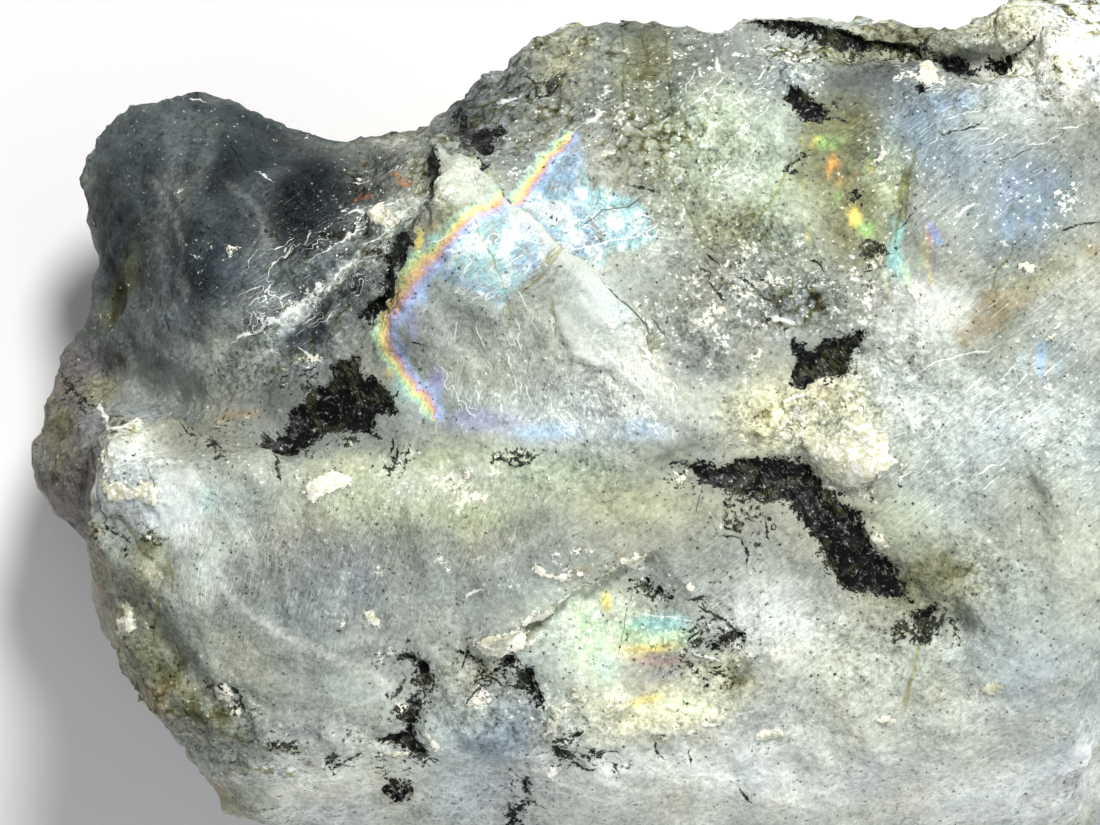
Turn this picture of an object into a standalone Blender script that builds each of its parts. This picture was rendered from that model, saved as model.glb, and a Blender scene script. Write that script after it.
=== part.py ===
"""A rough chunk of labradorite feldspar: one broken piece of stone, lying on a flat cleavage face.

Lengths are in millimetres and become metres through MM when a point goes into a mesh.
+X runs along the chunk, +Y across it, and +Z points up from the face that it rests on.
"""

import math

import bmesh
import bpy
import numpy as np
from mathutils import Vector, noise

MM = 0.001

# The stone is worked up from an even ball of points, laid out as a broken lump, and then chipped.
BALL_SUBDIVISIONS = 7
EVEN_SPACING = 0.85
TRIANGLES = 9950

# Widest outline as seen from above, counter-clockwise from the far end: x, y, height of the edge.
RIM = [
    (60.5, 0, 20), (60.5, 15, 22), (59, 32, 23), (56, 40, 25), (52.5, 44.5, 26),
    (47.5, 48, 26), (42, 48.5, 27), (37, 47.5, 28), (34.5, 45.8, 29), (31.5, 43.2, 30), (30.5, 42, 30),
    (29, 41, 30), (27.5, 40.5, 30), (24.5, 41, 30), (22.5, 40, 31), (19.5, 40, 32), (15, 41, 31),
    (12.5, 41.5, 30), (8, 41.5, 29), (7, 40.5, 29), (4, 40.2, 28), (-0.5, 40.6, 27), (-4.5, 40.2, 26),
    (-10, 39.6, 24), (-11.5, 39.5, 24), (-15, 37.3, 23), (-18.5, 34.5, 24), (-21, 32, 25),
    (-22.5, 31, 25), (-25, 28.5, 25), (-27, 28.5, 24), (-32.5, 30.3, 20), (-37.5, 33.3, 18),
    (-40, 34.2, 18), (-46, 35, 17), (-50.3, 34.5, 16), (-54.5, 31.8, 16), (-56.5, 28.4, 16),
    (-56.6, 26.5, 16), (-56, 22, 17), (-54.8, 18.4, 17), (-54.2, 17.4, 18), (-55, 16.4, 17),
    (-55.5, 13.5, 17), (-58.3, 10.5, 16), (-59.8, 6, 15), (-60.9, 2, 15), (-60, -1, 15),
    (-58, -4.5, 15), (-55.7, -7.2, 16),
    (-53.5, -9, 26), (-53.2, -13.2, 30), (-51.6, -19, 31), (-48.6, -23.4, 31), (-44.2, -28.9, 31),
    (-41.9, -30.4, 30), (-42.6, -31.9, 29), (-38.9, -35.4, 27), (-33, -41, 21), (-28, -44.5, 19),
    (-9.5, -47.5, 16), (4, -49, 15), (19, -48.5, 15), (36, -43.5, 16), (50, -35, 18), (54.5, -29, 20),
    (58, -16, 20),
]
# Corners of the broken sides below that outline, and of the face that the stone lies on.
BELLY = [
    (57, -6, 9), (59, 17, 11), (51, 37, 13), (28, 40, 12), (9, 39, 9), (-12, 37, 8), (-26, 27, 10),
    (-44, 29, 7), (-53, 21, 8), (-55, 1, 6), (-51, -13, 9), (-41, -29, 8), (-19, -42, 9), (6, -45, 6),
    (30, -41, 9), (49, -29, 8),
]
BASE = [
    (49, 3), (49, 22), (37, 33), (12, 34), (-11, 31), (-27, 22), (-45, 22), (-48, 3), (-42, -14),
    (-33, -26), (-11, -37), (16, -38), (38, -29), (47, -14),
]
MIDDLE = (0.0, -1.7)  # of the finished stone's plan, in the coordinates of the lists above
BASE_SAG = 1.6  # the lump's underside bulges this far below the cleavage face, which cuts it off

# Heights of the broken top above the resting face: x, y, z.
TOP_HEIGHTS = [
    # the low lobe at the near end, which falls away outwards
    (-49, 25, 24), (-45, 30, 23), (-38, 29.5, 24), (-51, 17.5, 24), (-51.5, 12.5, 22), (-42.5, 21, 31),
    (-36, 23, 31), (-30.5, 25.5, 29), (-26, 24.5, 32), (-33, 15.5, 37), (-42.5, 12, 33), (-48.5, 9.5, 27),
    (-52.5, 6.5, 21), (-42.5, 4.5, 32), (-47, 3.5, 28), (-37, 3.5, 38), (-29.5, 11, 40.5), (-26, 20, 38),
    # the broad field beside it
    (-48.5, 0.5, 38), (-50.5, -6, 38.5), (-44, -2.5, 42), (-37.5, -6.5, 44), (-28.5, -2.5, 44.5),
    (-44, -13.5, 43.8), (-33, -13.5, 45), (-24, -10, 45.5), (-49.5, -14, 42.3), (-46, -21, 42.6),
    (-41, -25.5, 42.8), (-33, -22.5, 43.5), (-24, -22.5, 44), (-19.5, -17, 45), (-38.5, -31, 37),
    (-30.5, -29.5, 41), (-19.5, -30, 41.5), (-6, -31.5, 41.5),
    # the bright cleavage plate and the ground above it
    (-20.5, 23, 44), (-20.5, 13.5, 46), (-10.5, 13.5, 47), (-6, 4.5, 46.5), (-17, 4.5, 46),
    (-17, 30, 35), (-11.5, 35.5, 32), (-9.5, 30, 40), (-2.5, 35.5, 36), (-2.5, 27.5, 43), (-4, 20, 45),
    (5, 35.5, 37), (5, 27.5, 43), (5, 18.5, 45.5), (8.5, 10, 46.5), (12.5, 35.5, 39), (17, 30, 43),
    (17, 21, 45), (23, 35.5, 40), (30.5, 35.5, 44), (36, 40, 46), (28.5, 27.5, 47.5), (26, 13.5, 48),
    (37.5, 23, 48.5), (38.5, 9, 48), (44, 32, 46), (48.5, 18.5, 45),
    # the far half and the face that turns down at the side
    (3, 0, 46), (17, 3, 47), (12.5, -13.5, 46), (26, -4.5, 48), (35, -2.5, 49), (24, -17, 46),
    (35, -15.5, 48), (3, -22.5, 44.5), (17, -24.5, 44), (30.5, -24.5, 44.5), (39.5, -24.5, 43),
    (48.5, -9, 44), (49, 4.5, 45), (39.5, -34, 33), (26, -37, 33), (12.5, -39, 31), (-1.5, -39, 31),
    (-15, -38, 30), (46.5, -23, 38),
]
EDGE_ROUNDING = (16.0, 0.5)  # how square the top is where it turns down to the outline

# Flat breaks that cut the lump's sides: bearing and climb of the face's normal in degrees, and
# how far the face lies from the middle of the resting face.
BREAKS = [
    (-96, 34, 49.0), (-71, 36, 53.2), (-30, 22, 57.0), (9, 9, 60.2), (46, 24, 66.5), (84, 24, 55.5),
    (-92, -38, 26.5), (-38, -30, 38.0), (12, -36, 38.5), (62, -32, 36.5), (100, -38, 22.0),
    (140, -36, 39.2), (182, -32, 43.6), (-138, -30, 36.0),
]

# Ledges, as lines seen from above. The ground to the right of a line stands up by the rise, in
# a wall of that width, and sinks back to the general surface within the reach.
LEDGES = [
    # line, rise, wall width, reach
    (
        [(-53.5, -9), (-51.5, -2), (-50.4, 1.6), (-46.5, 1.5), (-43.5, 2.6), (-38.5, 1), (-35.5, -1)],
        5.0, 1.2, 9,
    ),
    ([(-26, 11), (-25, 15), (-23, 19), (-21.8, 24), (-21, 27)], 2.0, 1.0, 9),
    ([(-20.5, 27.3), (-15.5, 23.3), (-10, 18.5), (-5, 13), (-0.2, 7.2), (2.5, 2)], 1.5, 1.1, 12),
    ([(-17.5, -18.5), (-12, -15.8), (-6.5, -12), (-2, -9.6)], -1.3, 0.9, 9),
    ([(-38, 10.5), (-34.5, 12.8), (-31.5, 14.6)], -1.0, 0.9, 5),
    ([(12, -1), (20, -3.5), (22, 2.5), (16.5, 8)], -0.8, 0.8, 6),
    ([(34, -11), (33, -2), (36, 3), (42, 6)], 1.2, 1.2, 8),
    ([(30, 26), (27, 20), (24, 12)], 0.9, 1.0, 8),
    ([(-48, -13), (-43.5, -19), (-37, -22.5)], -1.2, 1.2, 6),
]
# Ledges, grooves and hollows wander this far from their lines, in bends of these sizes.
WANDER = [(7.0, 1.1), (2.6, 0.5)]
# Long narrow grooves, mostly where a softer dark vein weathered out: line, depth, half width.
GROOVES = [
    ([(8.5, 38.2), (14, 37.6), (19, 36.8), (24, 35.6), (28.5, 35), (33, 36.5)], 2.6, 1.1),
    ([(-26.2, 12.2), (-24.6, 15.5), (-22.6, 19.4)], 1.8, 0.9),
    ([(-21.6, 22.5), (-21.4, 26.6)], 1.6, 0.8),
    ([(1.5, -1), (7, -1), (12.5, -2.2), (16.3, -5.6), (18.5, -10), (20.5, -13.5)], 1.0, 2.1),
    ([(-3, 38), (-0.5, 30), (1.5, 23), (4, 17)], 0.5, 1.1),
    ([(12, 27), (9.5, 22)], 0.8, 0.9),
    ([(-45, -18), (-42, -21.5), (-38, -22.5)], 0.9, 1.0),
]
# Hollows where grains broke out, and lumps that stand proud: x, y, radius, depth (lumps negative).
HOLLOWS = [
    (-31.5, 3.8, 3.6, 1.1), (-34.5, 1.6, 2.2, 0.9), (11.6, 31.4, 1.7, 1.8), (15, 9.3, 2.6, 1.1),
    (23.8, 34.2, 1.4, 1.6), (-23.6, -20.5, 1.8, 1.0), (-24, -26.5, 2.0, 0.9), (-14.5, -19.4, 1.6, 0.9),
    (-12, -21, 1.4, 0.8), (-9, -28, 2.0, 0.7), (17.8, 17.4, 1.5, 0.9), (25, -16, 2.2, 0.9),
    (-11, 33, 1.6, 0.7), (-18, 29.4, 2.0, 0.9), (-36.5, 20, 4.5, 1.6), (-44.5, 3, 5.5, 1.2),
    (5.2, -16.4, 2.0, 0.7), (-19.2, 24.6, 2.1, -1.0), (24.2, 34.6, 1.6, -1.2), (16.5, 0.8, 5.0, -0.7),
    (-15.3, -17.4, 2.2, -0.7), (-41.8, -21.8, 1.8, -0.8), (-49.5, -15, 1.3, -0.5), (36.5, -1, 4.5, -0.8),
]

# Shallow scoops that cover every broken face, like those a hammer leaves: how far across one
# is, and how strongly it is cut into a side and into the top.
SCOOPS = [(15.0, 0.30, 0.10), (6.0, 0.24, 0.12)]
SCOOP_HOLLOW = 0.6
SCOOP_MEAN = 0.17
SCOOP_SEED = Vector((3.7, 11.2, 6.1))
LEAN_SEED = 7.3
# Which of the possible wanderings the ledge lines take; without it they would differ each time.
WANDER_SEED = 3
# The two cleavages, nearly square to each other, step the sides in patches: the direction across
# the steps, their pitch and their depth.
CLEAVAGES = [(Vector((0.12, 0.09, 0.99)), 5.2, 1.5), (Vector((0.74, -0.66, 0.1)), 9.0, 2.0)]
STEP_WAVINESS = 0.3
STEP_MEAN = 0.42
PATCH_SIZE = 12.0
PATCH_EDGE = (0.06, 0.22)  # the noise levels between which a patch of steps fades in
CUTTER_SIZE = Vector((200.0, 180.0, 20.0))  # wider than the lump, so that it cuts the whole underside


def clear_scene():
    for obj in list(bpy.data.objects):
        bpy.data.objects.remove(obj)


def collection_named(name):
    collection = bpy.data.collections.new(name)
    bpy.context.scene.collection.children.link(collection)
    return collection


def smooth_ramp(value, low, high):
    """0 at low and below, 1 at high and above, with an easy curve between."""
    share = np.clip((value - low) / (high - low), 0.0, 1.0)
    return share * share * (3.0 - 2.0 * share)


def ray_hit(loop, angle):
    """The point of a closed loop of straight sides where the ray at this angle crosses it."""
    ray_x, ray_y = math.cos(angle), math.sin(angle)
    for start, end in zip(loop, loop[1:] + loop[:1]):
        off_start = ray_x * start[1] - ray_y * start[0]
        off_end = ray_x * end[1] - ray_y * end[0]
        if off_start <= 0 < off_end:
            share = off_start / (off_start - off_end)
            point = [a + (b - a) * share for a, b in zip(start, end)]
            if ray_x * point[0] + ray_y * point[1] > 0:
                return point
    raise ValueError(f"no side of the loop lies at {angle:.3f} radians")


def thin_plate(points):
    """The smoothest surface z(x, y) that passes through the points, as a function of arrays."""
    known = np.array(points, float)
    places, heights = known[:, :2], known[:, 2]

    def kernel(x, y):
        square = (x[:, None] - places[:, 0]) ** 2 + (y[:, None] - places[:, 1]) ** 2
        return 0.5 * square * np.log(square + 1e-9)

    count = len(places)
    flat = np.column_stack([np.ones(count), places])
    system = np.zeros((count + 3, count + 3))
    system[:count, :count] = kernel(places[:, 0], places[:, 1])
    system[:count, count:] = flat
    system[count:, :count] = flat.T
    weights = np.linalg.solve(system, np.concatenate([heights, np.zeros(3)]))

    def surface(x, y):
        x, y = np.asarray(x, float), np.asarray(y, float)
        plane = weights[count] + weights[count + 1] * x + weights[count + 2] * y
        return kernel(x, y) @ weights[:count] + plane

    return surface


def polar_angle(unit):
    return math.acos(max(-1.0, min(1.0, unit.z)))


def plan_share(unit):
    """How far out towards the outline a point of the ball's upper half goes, from 0 to 1."""
    return math.sin(polar_angle(unit) / 2) / math.sin(math.pi / 4)


def lump_point(unit, rim, belly, base, top_z):
    """Where a point of the unit ball goes on the lump, from the three loops at its bearing."""
    polar = polar_angle(unit)
    quarter = math.pi / 2
    if polar <= quarter:
        out = plan_share(unit)
        power, root = EDGE_ROUNDING
        rise = (1.0 - out**power) ** root
        return Vector((rim[0] * out, rim[1] * out, rim[2] + (top_z - rim[2]) * rise))
    down = (polar - quarter) / (math.pi / 3)
    if down <= 0.5:
        return Vector(rim).lerp(Vector(belly), down * 2)
    if down <= 1.0:
        return Vector(belly).lerp(Vector((*base, 0.0)), down * 2 - 1)
    out = (math.pi - polar) / (math.pi / 6)
    return Vector((base[0] * out, base[1] * out, -BASE_SAG * (1 - out * out)))


def lump_mesh():
    """The broken lump without its chips and ledges."""
    shape = bmesh.new()
    bmesh.ops.create_icosphere(shape, subdivisions=BALL_SUBDIVISIONS, radius=1.0)
    top = thin_plate(TOP_HEIGHTS)
    rims = []
    for vertex in shape.verts:
        rims.append(ray_hit(RIM, math.atan2(vertex.co.y, vertex.co.x)))
    outs = np.array([plan_share(vertex.co) for vertex in shape.verts])
    plan = np.array(rims)[:, :2] * outs[:, None]
    tops = top(plan[:, 0], plan[:, 1])
    for vertex, rim, top_z in zip(shape.verts, rims, tops):
        angle = math.atan2(vertex.co.y, vertex.co.x)
        belly = ray_hit(BELLY, angle)
        base = ray_hit(BASE, angle)
        vertex.co = lump_point(vertex.co, rim, belly, base, top_z) * MM
    mesh = bpy.data.meshes.new("lump")
    shape.to_mesh(mesh)
    shape.free()
    return mesh


def evened(mesh):
    """A copy of a closed mesh with its points spread evenly, so that detail can be cut in anywhere."""
    rough = bpy.data.objects.new("lump", mesh)
    bpy.context.scene.collection.objects.link(rough)
    even = rough.modifiers.new("even", "REMESH")
    even.mode = "VOXEL"
    even.voxel_size = EVEN_SPACING * MM
    even.adaptivity = 0.0
    graph = bpy.context.evaluated_depsgraph_get()
    result = bpy.data.meshes.new_from_object(rough.evaluated_get(graph))
    bpy.data.objects.remove(rough)
    return result


def from_line(x, y, line):
    """Distance of each point from a line of straight stretches, positive on its right, and how
    far each point lies beyond the line's two ends."""
    nearest = np.full(x.shape, np.inf)
    side = np.ones(x.shape)
    beyond = np.zeros(x.shape)
    last = len(line) - 2
    for index, (start, end) in enumerate(zip(line, line[1:])):
        run_x, run_y = end[0] - start[0], end[1] - start[1]
        length = math.hypot(run_x, run_y)
        along = ((x - start[0]) * run_x + (y - start[1]) * run_y) / length
        across = ((x - start[0]) * run_y - (y - start[1]) * run_x) / length
        held = np.clip(along, 0.0, length)
        over = np.abs(along - held)
        apart = np.hypot(across, over)
        closer = apart < nearest
        nearest = np.where(closer, apart, nearest)
        side = np.where(closer, np.sign(across), side)
        at_end = ((index == 0) & (along < 0)) | ((index == last) & (along > length))
        beyond = np.where(closer, np.where(at_end, over, 0.0), beyond)
    return nearest * side, beyond


def ledge_rise(x, y, line, rise, wall, reach):
    """Height that one ledge adds: it stands up to the right of its line and dies away from it."""
    away, beyond = from_line(x, y, line)
    step = smooth_ramp(away, -wall / 2, wall / 2)
    fade = 1.0 - smooth_ramp(np.abs(away), 0.0, reach)
    return rise * step * fade * (1.0 - smooth_ramp(beyond, 0.0, wall * 3))


def wandered(x, y):
    """The same points, moved a little to and fro so that no line drawn through them is straight."""
    shifts = np.zeros((len(x), 2))
    for index in range(len(x)):
        for size, reach in WANDER:
            bend = noise.noise_vector(Vector((x[index], y[index], 0.0)) / size + SCOOP_SEED)
            shifts[index] += np.array(bend[:2]) * reach
    return x + shifts[:, 0], y + shifts[:, 1]


def relief(x, y):
    """Height that the ledges, grooves, hollows and lumps add to the top at each point."""
    x, y = wandered(x, y)
    height = np.zeros(x.shape)
    for line, rise, wall, reach in LEDGES:
        height += ledge_rise(x, y, line, rise, wall, reach)
    for line, depth, half_width in GROOVES:
        away, beyond = from_line(x, y, line)
        inside = 1.0 - smooth_ramp(np.abs(away), half_width * 0.4, half_width * 1.5)
        height -= depth * inside * (1.0 - smooth_ramp(beyond, 0.0, half_width))
    for centre_x, centre_y, radius, depth in HOLLOWS:
        away = np.hypot(x - centre_x, y - centre_y)
        height -= depth * (1.0 - smooth_ramp(away, radius * 0.45, radius * 1.35))
    return height


def scoop_offset(point, topness):
    """How far the scoops push this point out. Each is a hollow with a lean of its own, and they
    meet in ridges. The point lies on the top where topness is 1, and on a side where it is 0."""
    offset = 0.0
    for size, side_depth, top_depth in SCOOPS:
        place = (point + SCOOP_SEED) / size
        levels = []
        for centre in noise.voronoi(place)[1]:
            away = place - centre
            lean = noise.cell_vector(centre * LEAN_SEED) - Vector((0.5, 0.5, 0.5))
            levels.append(SCOOP_HOLLOW * away.length_squared + lean.dot(away))
        offset += (min(levels) - SCOOP_MEAN) * size * (side_depth + (top_depth - side_depth) * topness)
    return offset


def step_offset(point, upright):
    """How far the cleavage steps push this point of a side out. A side is 1 where it is upright."""
    offset = 0.0
    drift = noise.noise(point / PATCH_SIZE + SCOOP_SEED)
    for turn, (across, pitch, depth) in enumerate(CLEAVAGES):
        count = point.dot(across) / pitch + STEP_WAVINESS * drift
        share = count - math.floor(count)
        profile = smooth_ramp(share, 0.0, 0.16) - share - STEP_MEAN
        patch = smooth_ramp(noise.noise(point / PATCH_SIZE - SCOOP_SEED * (turn + 1)), *PATCH_EDGE)
        offset += depth * float(profile * patch)
    return offset * upright


def vertex_places(mesh):
    places = np.empty(len(mesh.vertices) * 3)
    mesh.vertices.foreach_get("co", places)
    return places.reshape(-1, 3) / MM


def place_vertices(mesh, places):
    mesh.vertices.foreach_set("co", (places * MM).ravel())
    mesh.update()


def centre_plan(mesh):
    places = vertex_places(mesh)
    places[:, :2] -= MIDDLE
    place_vertices(mesh, places)


def flatten_breaks(mesh):
    """Lays everything that stands proud of a flat break back on its face."""
    places = vertex_places(mesh)
    for bearing, climb, distance in BREAKS:
        turn, lift = math.radians(bearing), math.radians(climb)
        level = math.cos(lift)
        normal = np.array([level * math.cos(turn), level * math.sin(turn), math.sin(lift)])
        proud = np.maximum(places @ normal - distance, 0.0)
        places -= proud[:, None] * normal
    place_vertices(mesh, places)


def chip(mesh):
    """Cuts the ledges into the top, and scoops and steps into the whole surface."""
    places = vertex_places(mesh)
    normals = np.empty(places.size)
    mesh.vertices.foreach_get("normal", normals)
    normals = normals.reshape(-1, 3)
    topness = smooth_ramp(normals[:, 2], 0.12, 0.45)
    upright = 1.0 - smooth_ramp(np.abs(normals[:, 2]), 0.35, 0.75)
    places[:, 2] += relief(places[:, 0], places[:, 1]) * topness
    for index, start in enumerate(places):
        point = Vector(start)
        out = scoop_offset(point, float(topness[index])) + step_offset(point, float(upright[index]))
        places[index] += normals[index] * out
    place_vertices(mesh, places)


def floor_cutter(collection):
    """A box whose upper side is the cleavage face that the stone lies on."""
    shape = bmesh.new()
    bmesh.ops.create_cube(shape, size=1.0)
    size = CUTTER_SIZE * MM
    bmesh.ops.scale(shape, vec=size, verts=shape.verts)
    bmesh.ops.translate(shape, vec=(0, 0, -size.z / 2), verts=shape.verts)
    mesh = bpy.data.meshes.new("resting_face_cutter")
    shape.to_mesh(mesh)
    shape.free()
    cutter = bpy.data.objects.new("resting_face_cutter", mesh)
    cutter.hide_render = True
    cutter.display_type = "WIRE"
    collection.objects.link(cutter)
    return cutter


def stone_material():
    material = bpy.data.materials.new("labradorite")
    material.use_nodes = True
    shader = material.node_tree.nodes["Principled BSDF"]
    shader.inputs["Base Color"].default_value = (0.38, 0.42, 0.4, 1.0)
    shader.inputs["Roughness"].default_value = 0.42
    shader.inputs["Metallic"].default_value = 0.0
    return material


def main():
    clear_scene()
    noise.seed_set(WANDER_SEED)
    stones = collection_named("rough_labradorite_chunk")
    cutters = collection_named("cutters")
    mesh = evened(lump_mesh())
    flatten_breaks(mesh)
    chip(mesh)
    centre_plan(mesh)
    mesh.name = "labradorite_chunk"
    mesh.materials.append(stone_material())
    chunk = bpy.data.objects.new("labradorite_chunk", mesh)
    stones.objects.link(chunk)
    thin = chunk.modifiers.new("planar_facets", "DECIMATE")
    thin.ratio = TRIANGLES / sum(len(face.vertices) - 2 for face in mesh.polygons)
    rest = chunk.modifiers.new("resting_face", "BOOLEAN")
    rest.operation = "DIFFERENCE"
    rest.solver = "EXACT"
    rest.object = floor_cutter(cutters)


main()
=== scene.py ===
import itertools
import math

import bmesh
import bpy
import numpy as np
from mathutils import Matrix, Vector
from mathutils.bvhtree import BVHTree


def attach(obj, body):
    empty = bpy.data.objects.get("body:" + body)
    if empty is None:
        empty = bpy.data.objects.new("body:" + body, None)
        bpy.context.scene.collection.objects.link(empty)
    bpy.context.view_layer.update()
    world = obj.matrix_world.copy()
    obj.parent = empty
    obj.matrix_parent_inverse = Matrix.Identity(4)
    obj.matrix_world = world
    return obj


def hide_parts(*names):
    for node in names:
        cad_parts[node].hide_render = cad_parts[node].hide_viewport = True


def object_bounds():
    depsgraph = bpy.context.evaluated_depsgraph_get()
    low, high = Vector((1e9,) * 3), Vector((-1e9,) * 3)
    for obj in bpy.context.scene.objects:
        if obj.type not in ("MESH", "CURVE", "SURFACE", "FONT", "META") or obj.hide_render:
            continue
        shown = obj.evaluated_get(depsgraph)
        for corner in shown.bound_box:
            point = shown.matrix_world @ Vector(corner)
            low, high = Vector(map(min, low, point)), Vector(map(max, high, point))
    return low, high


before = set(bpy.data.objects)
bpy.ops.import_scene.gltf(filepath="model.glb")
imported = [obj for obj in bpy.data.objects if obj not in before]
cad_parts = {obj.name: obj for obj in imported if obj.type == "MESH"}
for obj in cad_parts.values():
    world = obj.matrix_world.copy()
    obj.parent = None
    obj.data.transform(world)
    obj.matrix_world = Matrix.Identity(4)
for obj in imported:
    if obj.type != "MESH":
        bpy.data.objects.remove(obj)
cad_box = [list(corner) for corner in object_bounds()]
MM = 0.001

# ------------------------------------------------------------------ the broken body of the stone
# One lump of labradorite feldspar, broken out of the rock along its cleavages. Its faces are
# close-set flakes and shallow scoops. The solid from the frame gives the lump its form, and here
# its facets melt together and are broken up again into scales, steps and grains.

TOP_SPACING = 0.45  # of the points on the lump, in millimetres
SIDE_TRIANGLES = 42000
SIDE_LEAN = 0.45  # where a normal rises less than this, the face is a side
SIDE_TOP = 15.0  # and so is all that lies below this height, in millimetres
MELT_ROUNDS = 7


def points_of(mesh, layer="co"):
    values = np.empty(len(mesh.vertices) * 3)
    mesh.vertices.foreach_get(layer, values)
    return values.reshape(-1, 3)


def lattice(cells):
    """A number from -1 to 1 for each whole-numbered cell, always the same for the same cell."""
    code = cells @ np.array([374761393, 668265263, 1013904223], np.int64)
    code = (code ^ (code >> 13)) * 1274126177
    code = (code ^ (code >> 17)) * 974634777
    return ((code ^ (code >> 15)) & 0xFFFF) / 32767.5 - 1.0


def ripple(points, size, seed=0):
    """Smooth noise from -1 to 1 at each point, with swells about size across."""
    place = points / size + seed * 17.31
    cells = np.floor(place).astype(np.int64)
    share = place - cells
    share = share * share * (3.0 - 2.0 * share)
    total = np.zeros(len(points))
    for corner in itertools.product((0, 1), repeat=3):
        weight = np.prod(np.where(corner, share, 1.0 - share), axis=1)
        total += weight * lattice(cells + corner)
    return total


def rough(points, size, octaves=3, seed=0):
    """Noise with finer and finer swells on it, each half as strong as the one before."""
    return sum(ripple(points, size / 2**n, seed + n) / 2**n for n in range(octaves))


def ramp(value, low, high):
    """0 at low and below, 1 at high and above, with an easy curve between."""
    share = np.clip((value - low) / (high - low), 0.0, 1.0)
    return share * share * (3.0 - 2.0 * share)


def scales(points, size, seed, hollow=0.6, lean=1.0):
    """Broken scales about size across: the height of each point, where every scale is a shallow
    scoop with a lean of its own, and the loose height that each scale has to itself."""
    place = points / size + seed * 9.77
    cells = np.floor(place).astype(np.int64)
    height = np.full(len(points), np.inf)
    nearest = np.full(len(points), np.inf)
    own = np.zeros(len(points))
    for step in itertools.product((-1, 0, 1), repeat=3):
        cell = cells + step
        jitter = np.stack([lattice(cell + 101 * axis) for axis in (1, 2, 3)], axis=1)
        tilt = np.stack([lattice(cell - 57 * axis) for axis in (1, 2, 3)], axis=1)
        away = place - (cell + 0.5 + jitter * 0.5)
        square = (away * away).sum(axis=1)
        level = hollow * square + 0.4 * lean * (tilt * away).sum(axis=1)
        height = np.minimum(height, level)
        closer = square < nearest
        nearest = np.where(closer, square, nearest)
        own = np.where(closer, lattice(cell + 977), own)
    return height * size, own


def terraces(points, size, seed, treads=4.0):
    """Flat treads with short steep rises between them, from -1 to 1, with ragged rims."""
    level = rough(points, size, 4, seed) * treads
    tread = np.floor(level)
    return (tread + ramp(level - tread, 0.75, 1.0)) / treads


def with_modifier(mesh, kind, **settings):
    """A new mesh: the old one with one modifier worked into it."""
    holder = bpy.data.objects.new("holder", mesh)
    bpy.context.scene.collection.objects.link(holder)
    group = settings.pop("weights", None)
    if group is not None:
        vertex_group = holder.vertex_groups.new(name="free")
        for index in np.flatnonzero(group):
            vertex_group.add([int(index)], 1.0, "REPLACE")
    modifier = holder.modifiers.new(kind.lower(), kind)
    for name, value in settings.items():
        setattr(modifier, name, value)
    graph = bpy.context.evaluated_depsgraph_get()
    result = bpy.data.meshes.new_from_object(holder.evaluated_get(graph))
    bpy.data.objects.remove(holder)
    return result


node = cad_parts["labradorite_chunk"]
solid = bmesh.new()
solid.from_mesh(node.data)
bmesh.ops.remove_doubles(solid, verts=solid.verts, dist=1e-6)
body = bpy.data.meshes.new("labradorite_body")
solid.to_mesh(body)
solid.free()
body = with_modifier(body, "REMESH", mode="VOXEL", voxel_size=TOP_SPACING * MM, adaptivity=0.0)
body = with_modifier(body, "TRIANGULATE")
upward = points_of(body, "normal")[:, 2]
height = points_of(body)[:, 2] / MM
side = (upward < SIDE_LEAN) | (height < SIDE_TOP)
in_side = side[np.array([corner.vertices[:] for corner in body.polygons])].all(axis=1)
kept_share = ((~in_side).sum() + SIDE_TRIANGLES) / len(in_side)
body = with_modifier(
    body, "DECIMATE", ratio=kept_share, vertex_group="free", vertex_group_factor=1.0, weights=side
)
molten = bmesh.new()
molten.from_mesh(body)
for _ in range(MELT_ROUNDS):
    bmesh.ops.smooth_vert(
        molten, verts=molten.verts, factor=0.5, use_axis_x=True, use_axis_y=True, use_axis_z=True
    )
molten.to_mesh(body)
molten.free()

# ------------------------------------------------------------------ the sheet that the face is drawn on
# What grew in the stone is laid out on a level sheet over its broken face, 11 units to the
# millimetre, x to the right and y down, as seen from the eye above it. A point of the face
# belongs to the place on the sheet that hides it from the eye.

EYE = np.array([-10.45, 5.2, 460.0])  # millimetres
SHEET_LEVEL = 40.0
SHEET_UNITS = 11.0
SHEET_CORNER = (665.0, 469.7)  # where the middle of the stone lies on the sheet


def on_sheet(points):
    share = (EYE[2] - SHEET_LEVEL) / (EYE[2] - points[:, 2])
    level = EYE[:2] + (points[:, :2] - EYE[:2]) * share[:, None]
    return np.stack(
        [SHEET_CORNER[0] + SHEET_UNITS * level[:, 0], SHEET_CORNER[1] - SHEET_UNITS * level[:, 1]], axis=1
    )


def wandering(points, places, reach, size, seed):
    """The places on the sheet, moved to and fro, so that what is drawn there gets ragged edges."""
    moved = places.copy()
    for axis in (0, 1):
        moved[:, axis] += reach * rough(points, size, 3, seed + 7 * axis)
    return moved


def from_line(places, line):
    """Distance from a line of straight stretches in sheet units, positive on its right as drawn."""
    nearest = np.full(len(places), np.inf)
    side = np.ones(len(places))
    for start, end in zip(line, line[1:]):
        start, run = np.array(start, float), np.subtract(end, start).astype(float)
        length = math.hypot(*run)
        off = places - start
        along = np.clip(off @ run / length, 0.0, length)
        apart = off - along[:, None] * run / length
        distance = np.hypot(apart[:, 0], apart[:, 1])
        closer = distance < nearest
        nearest = np.where(closer, distance, nearest)
        side = np.where(closer, np.sign(off[:, 1] * run[0] - off[:, 0] * run[1]), side)
    return nearest * side


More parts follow.
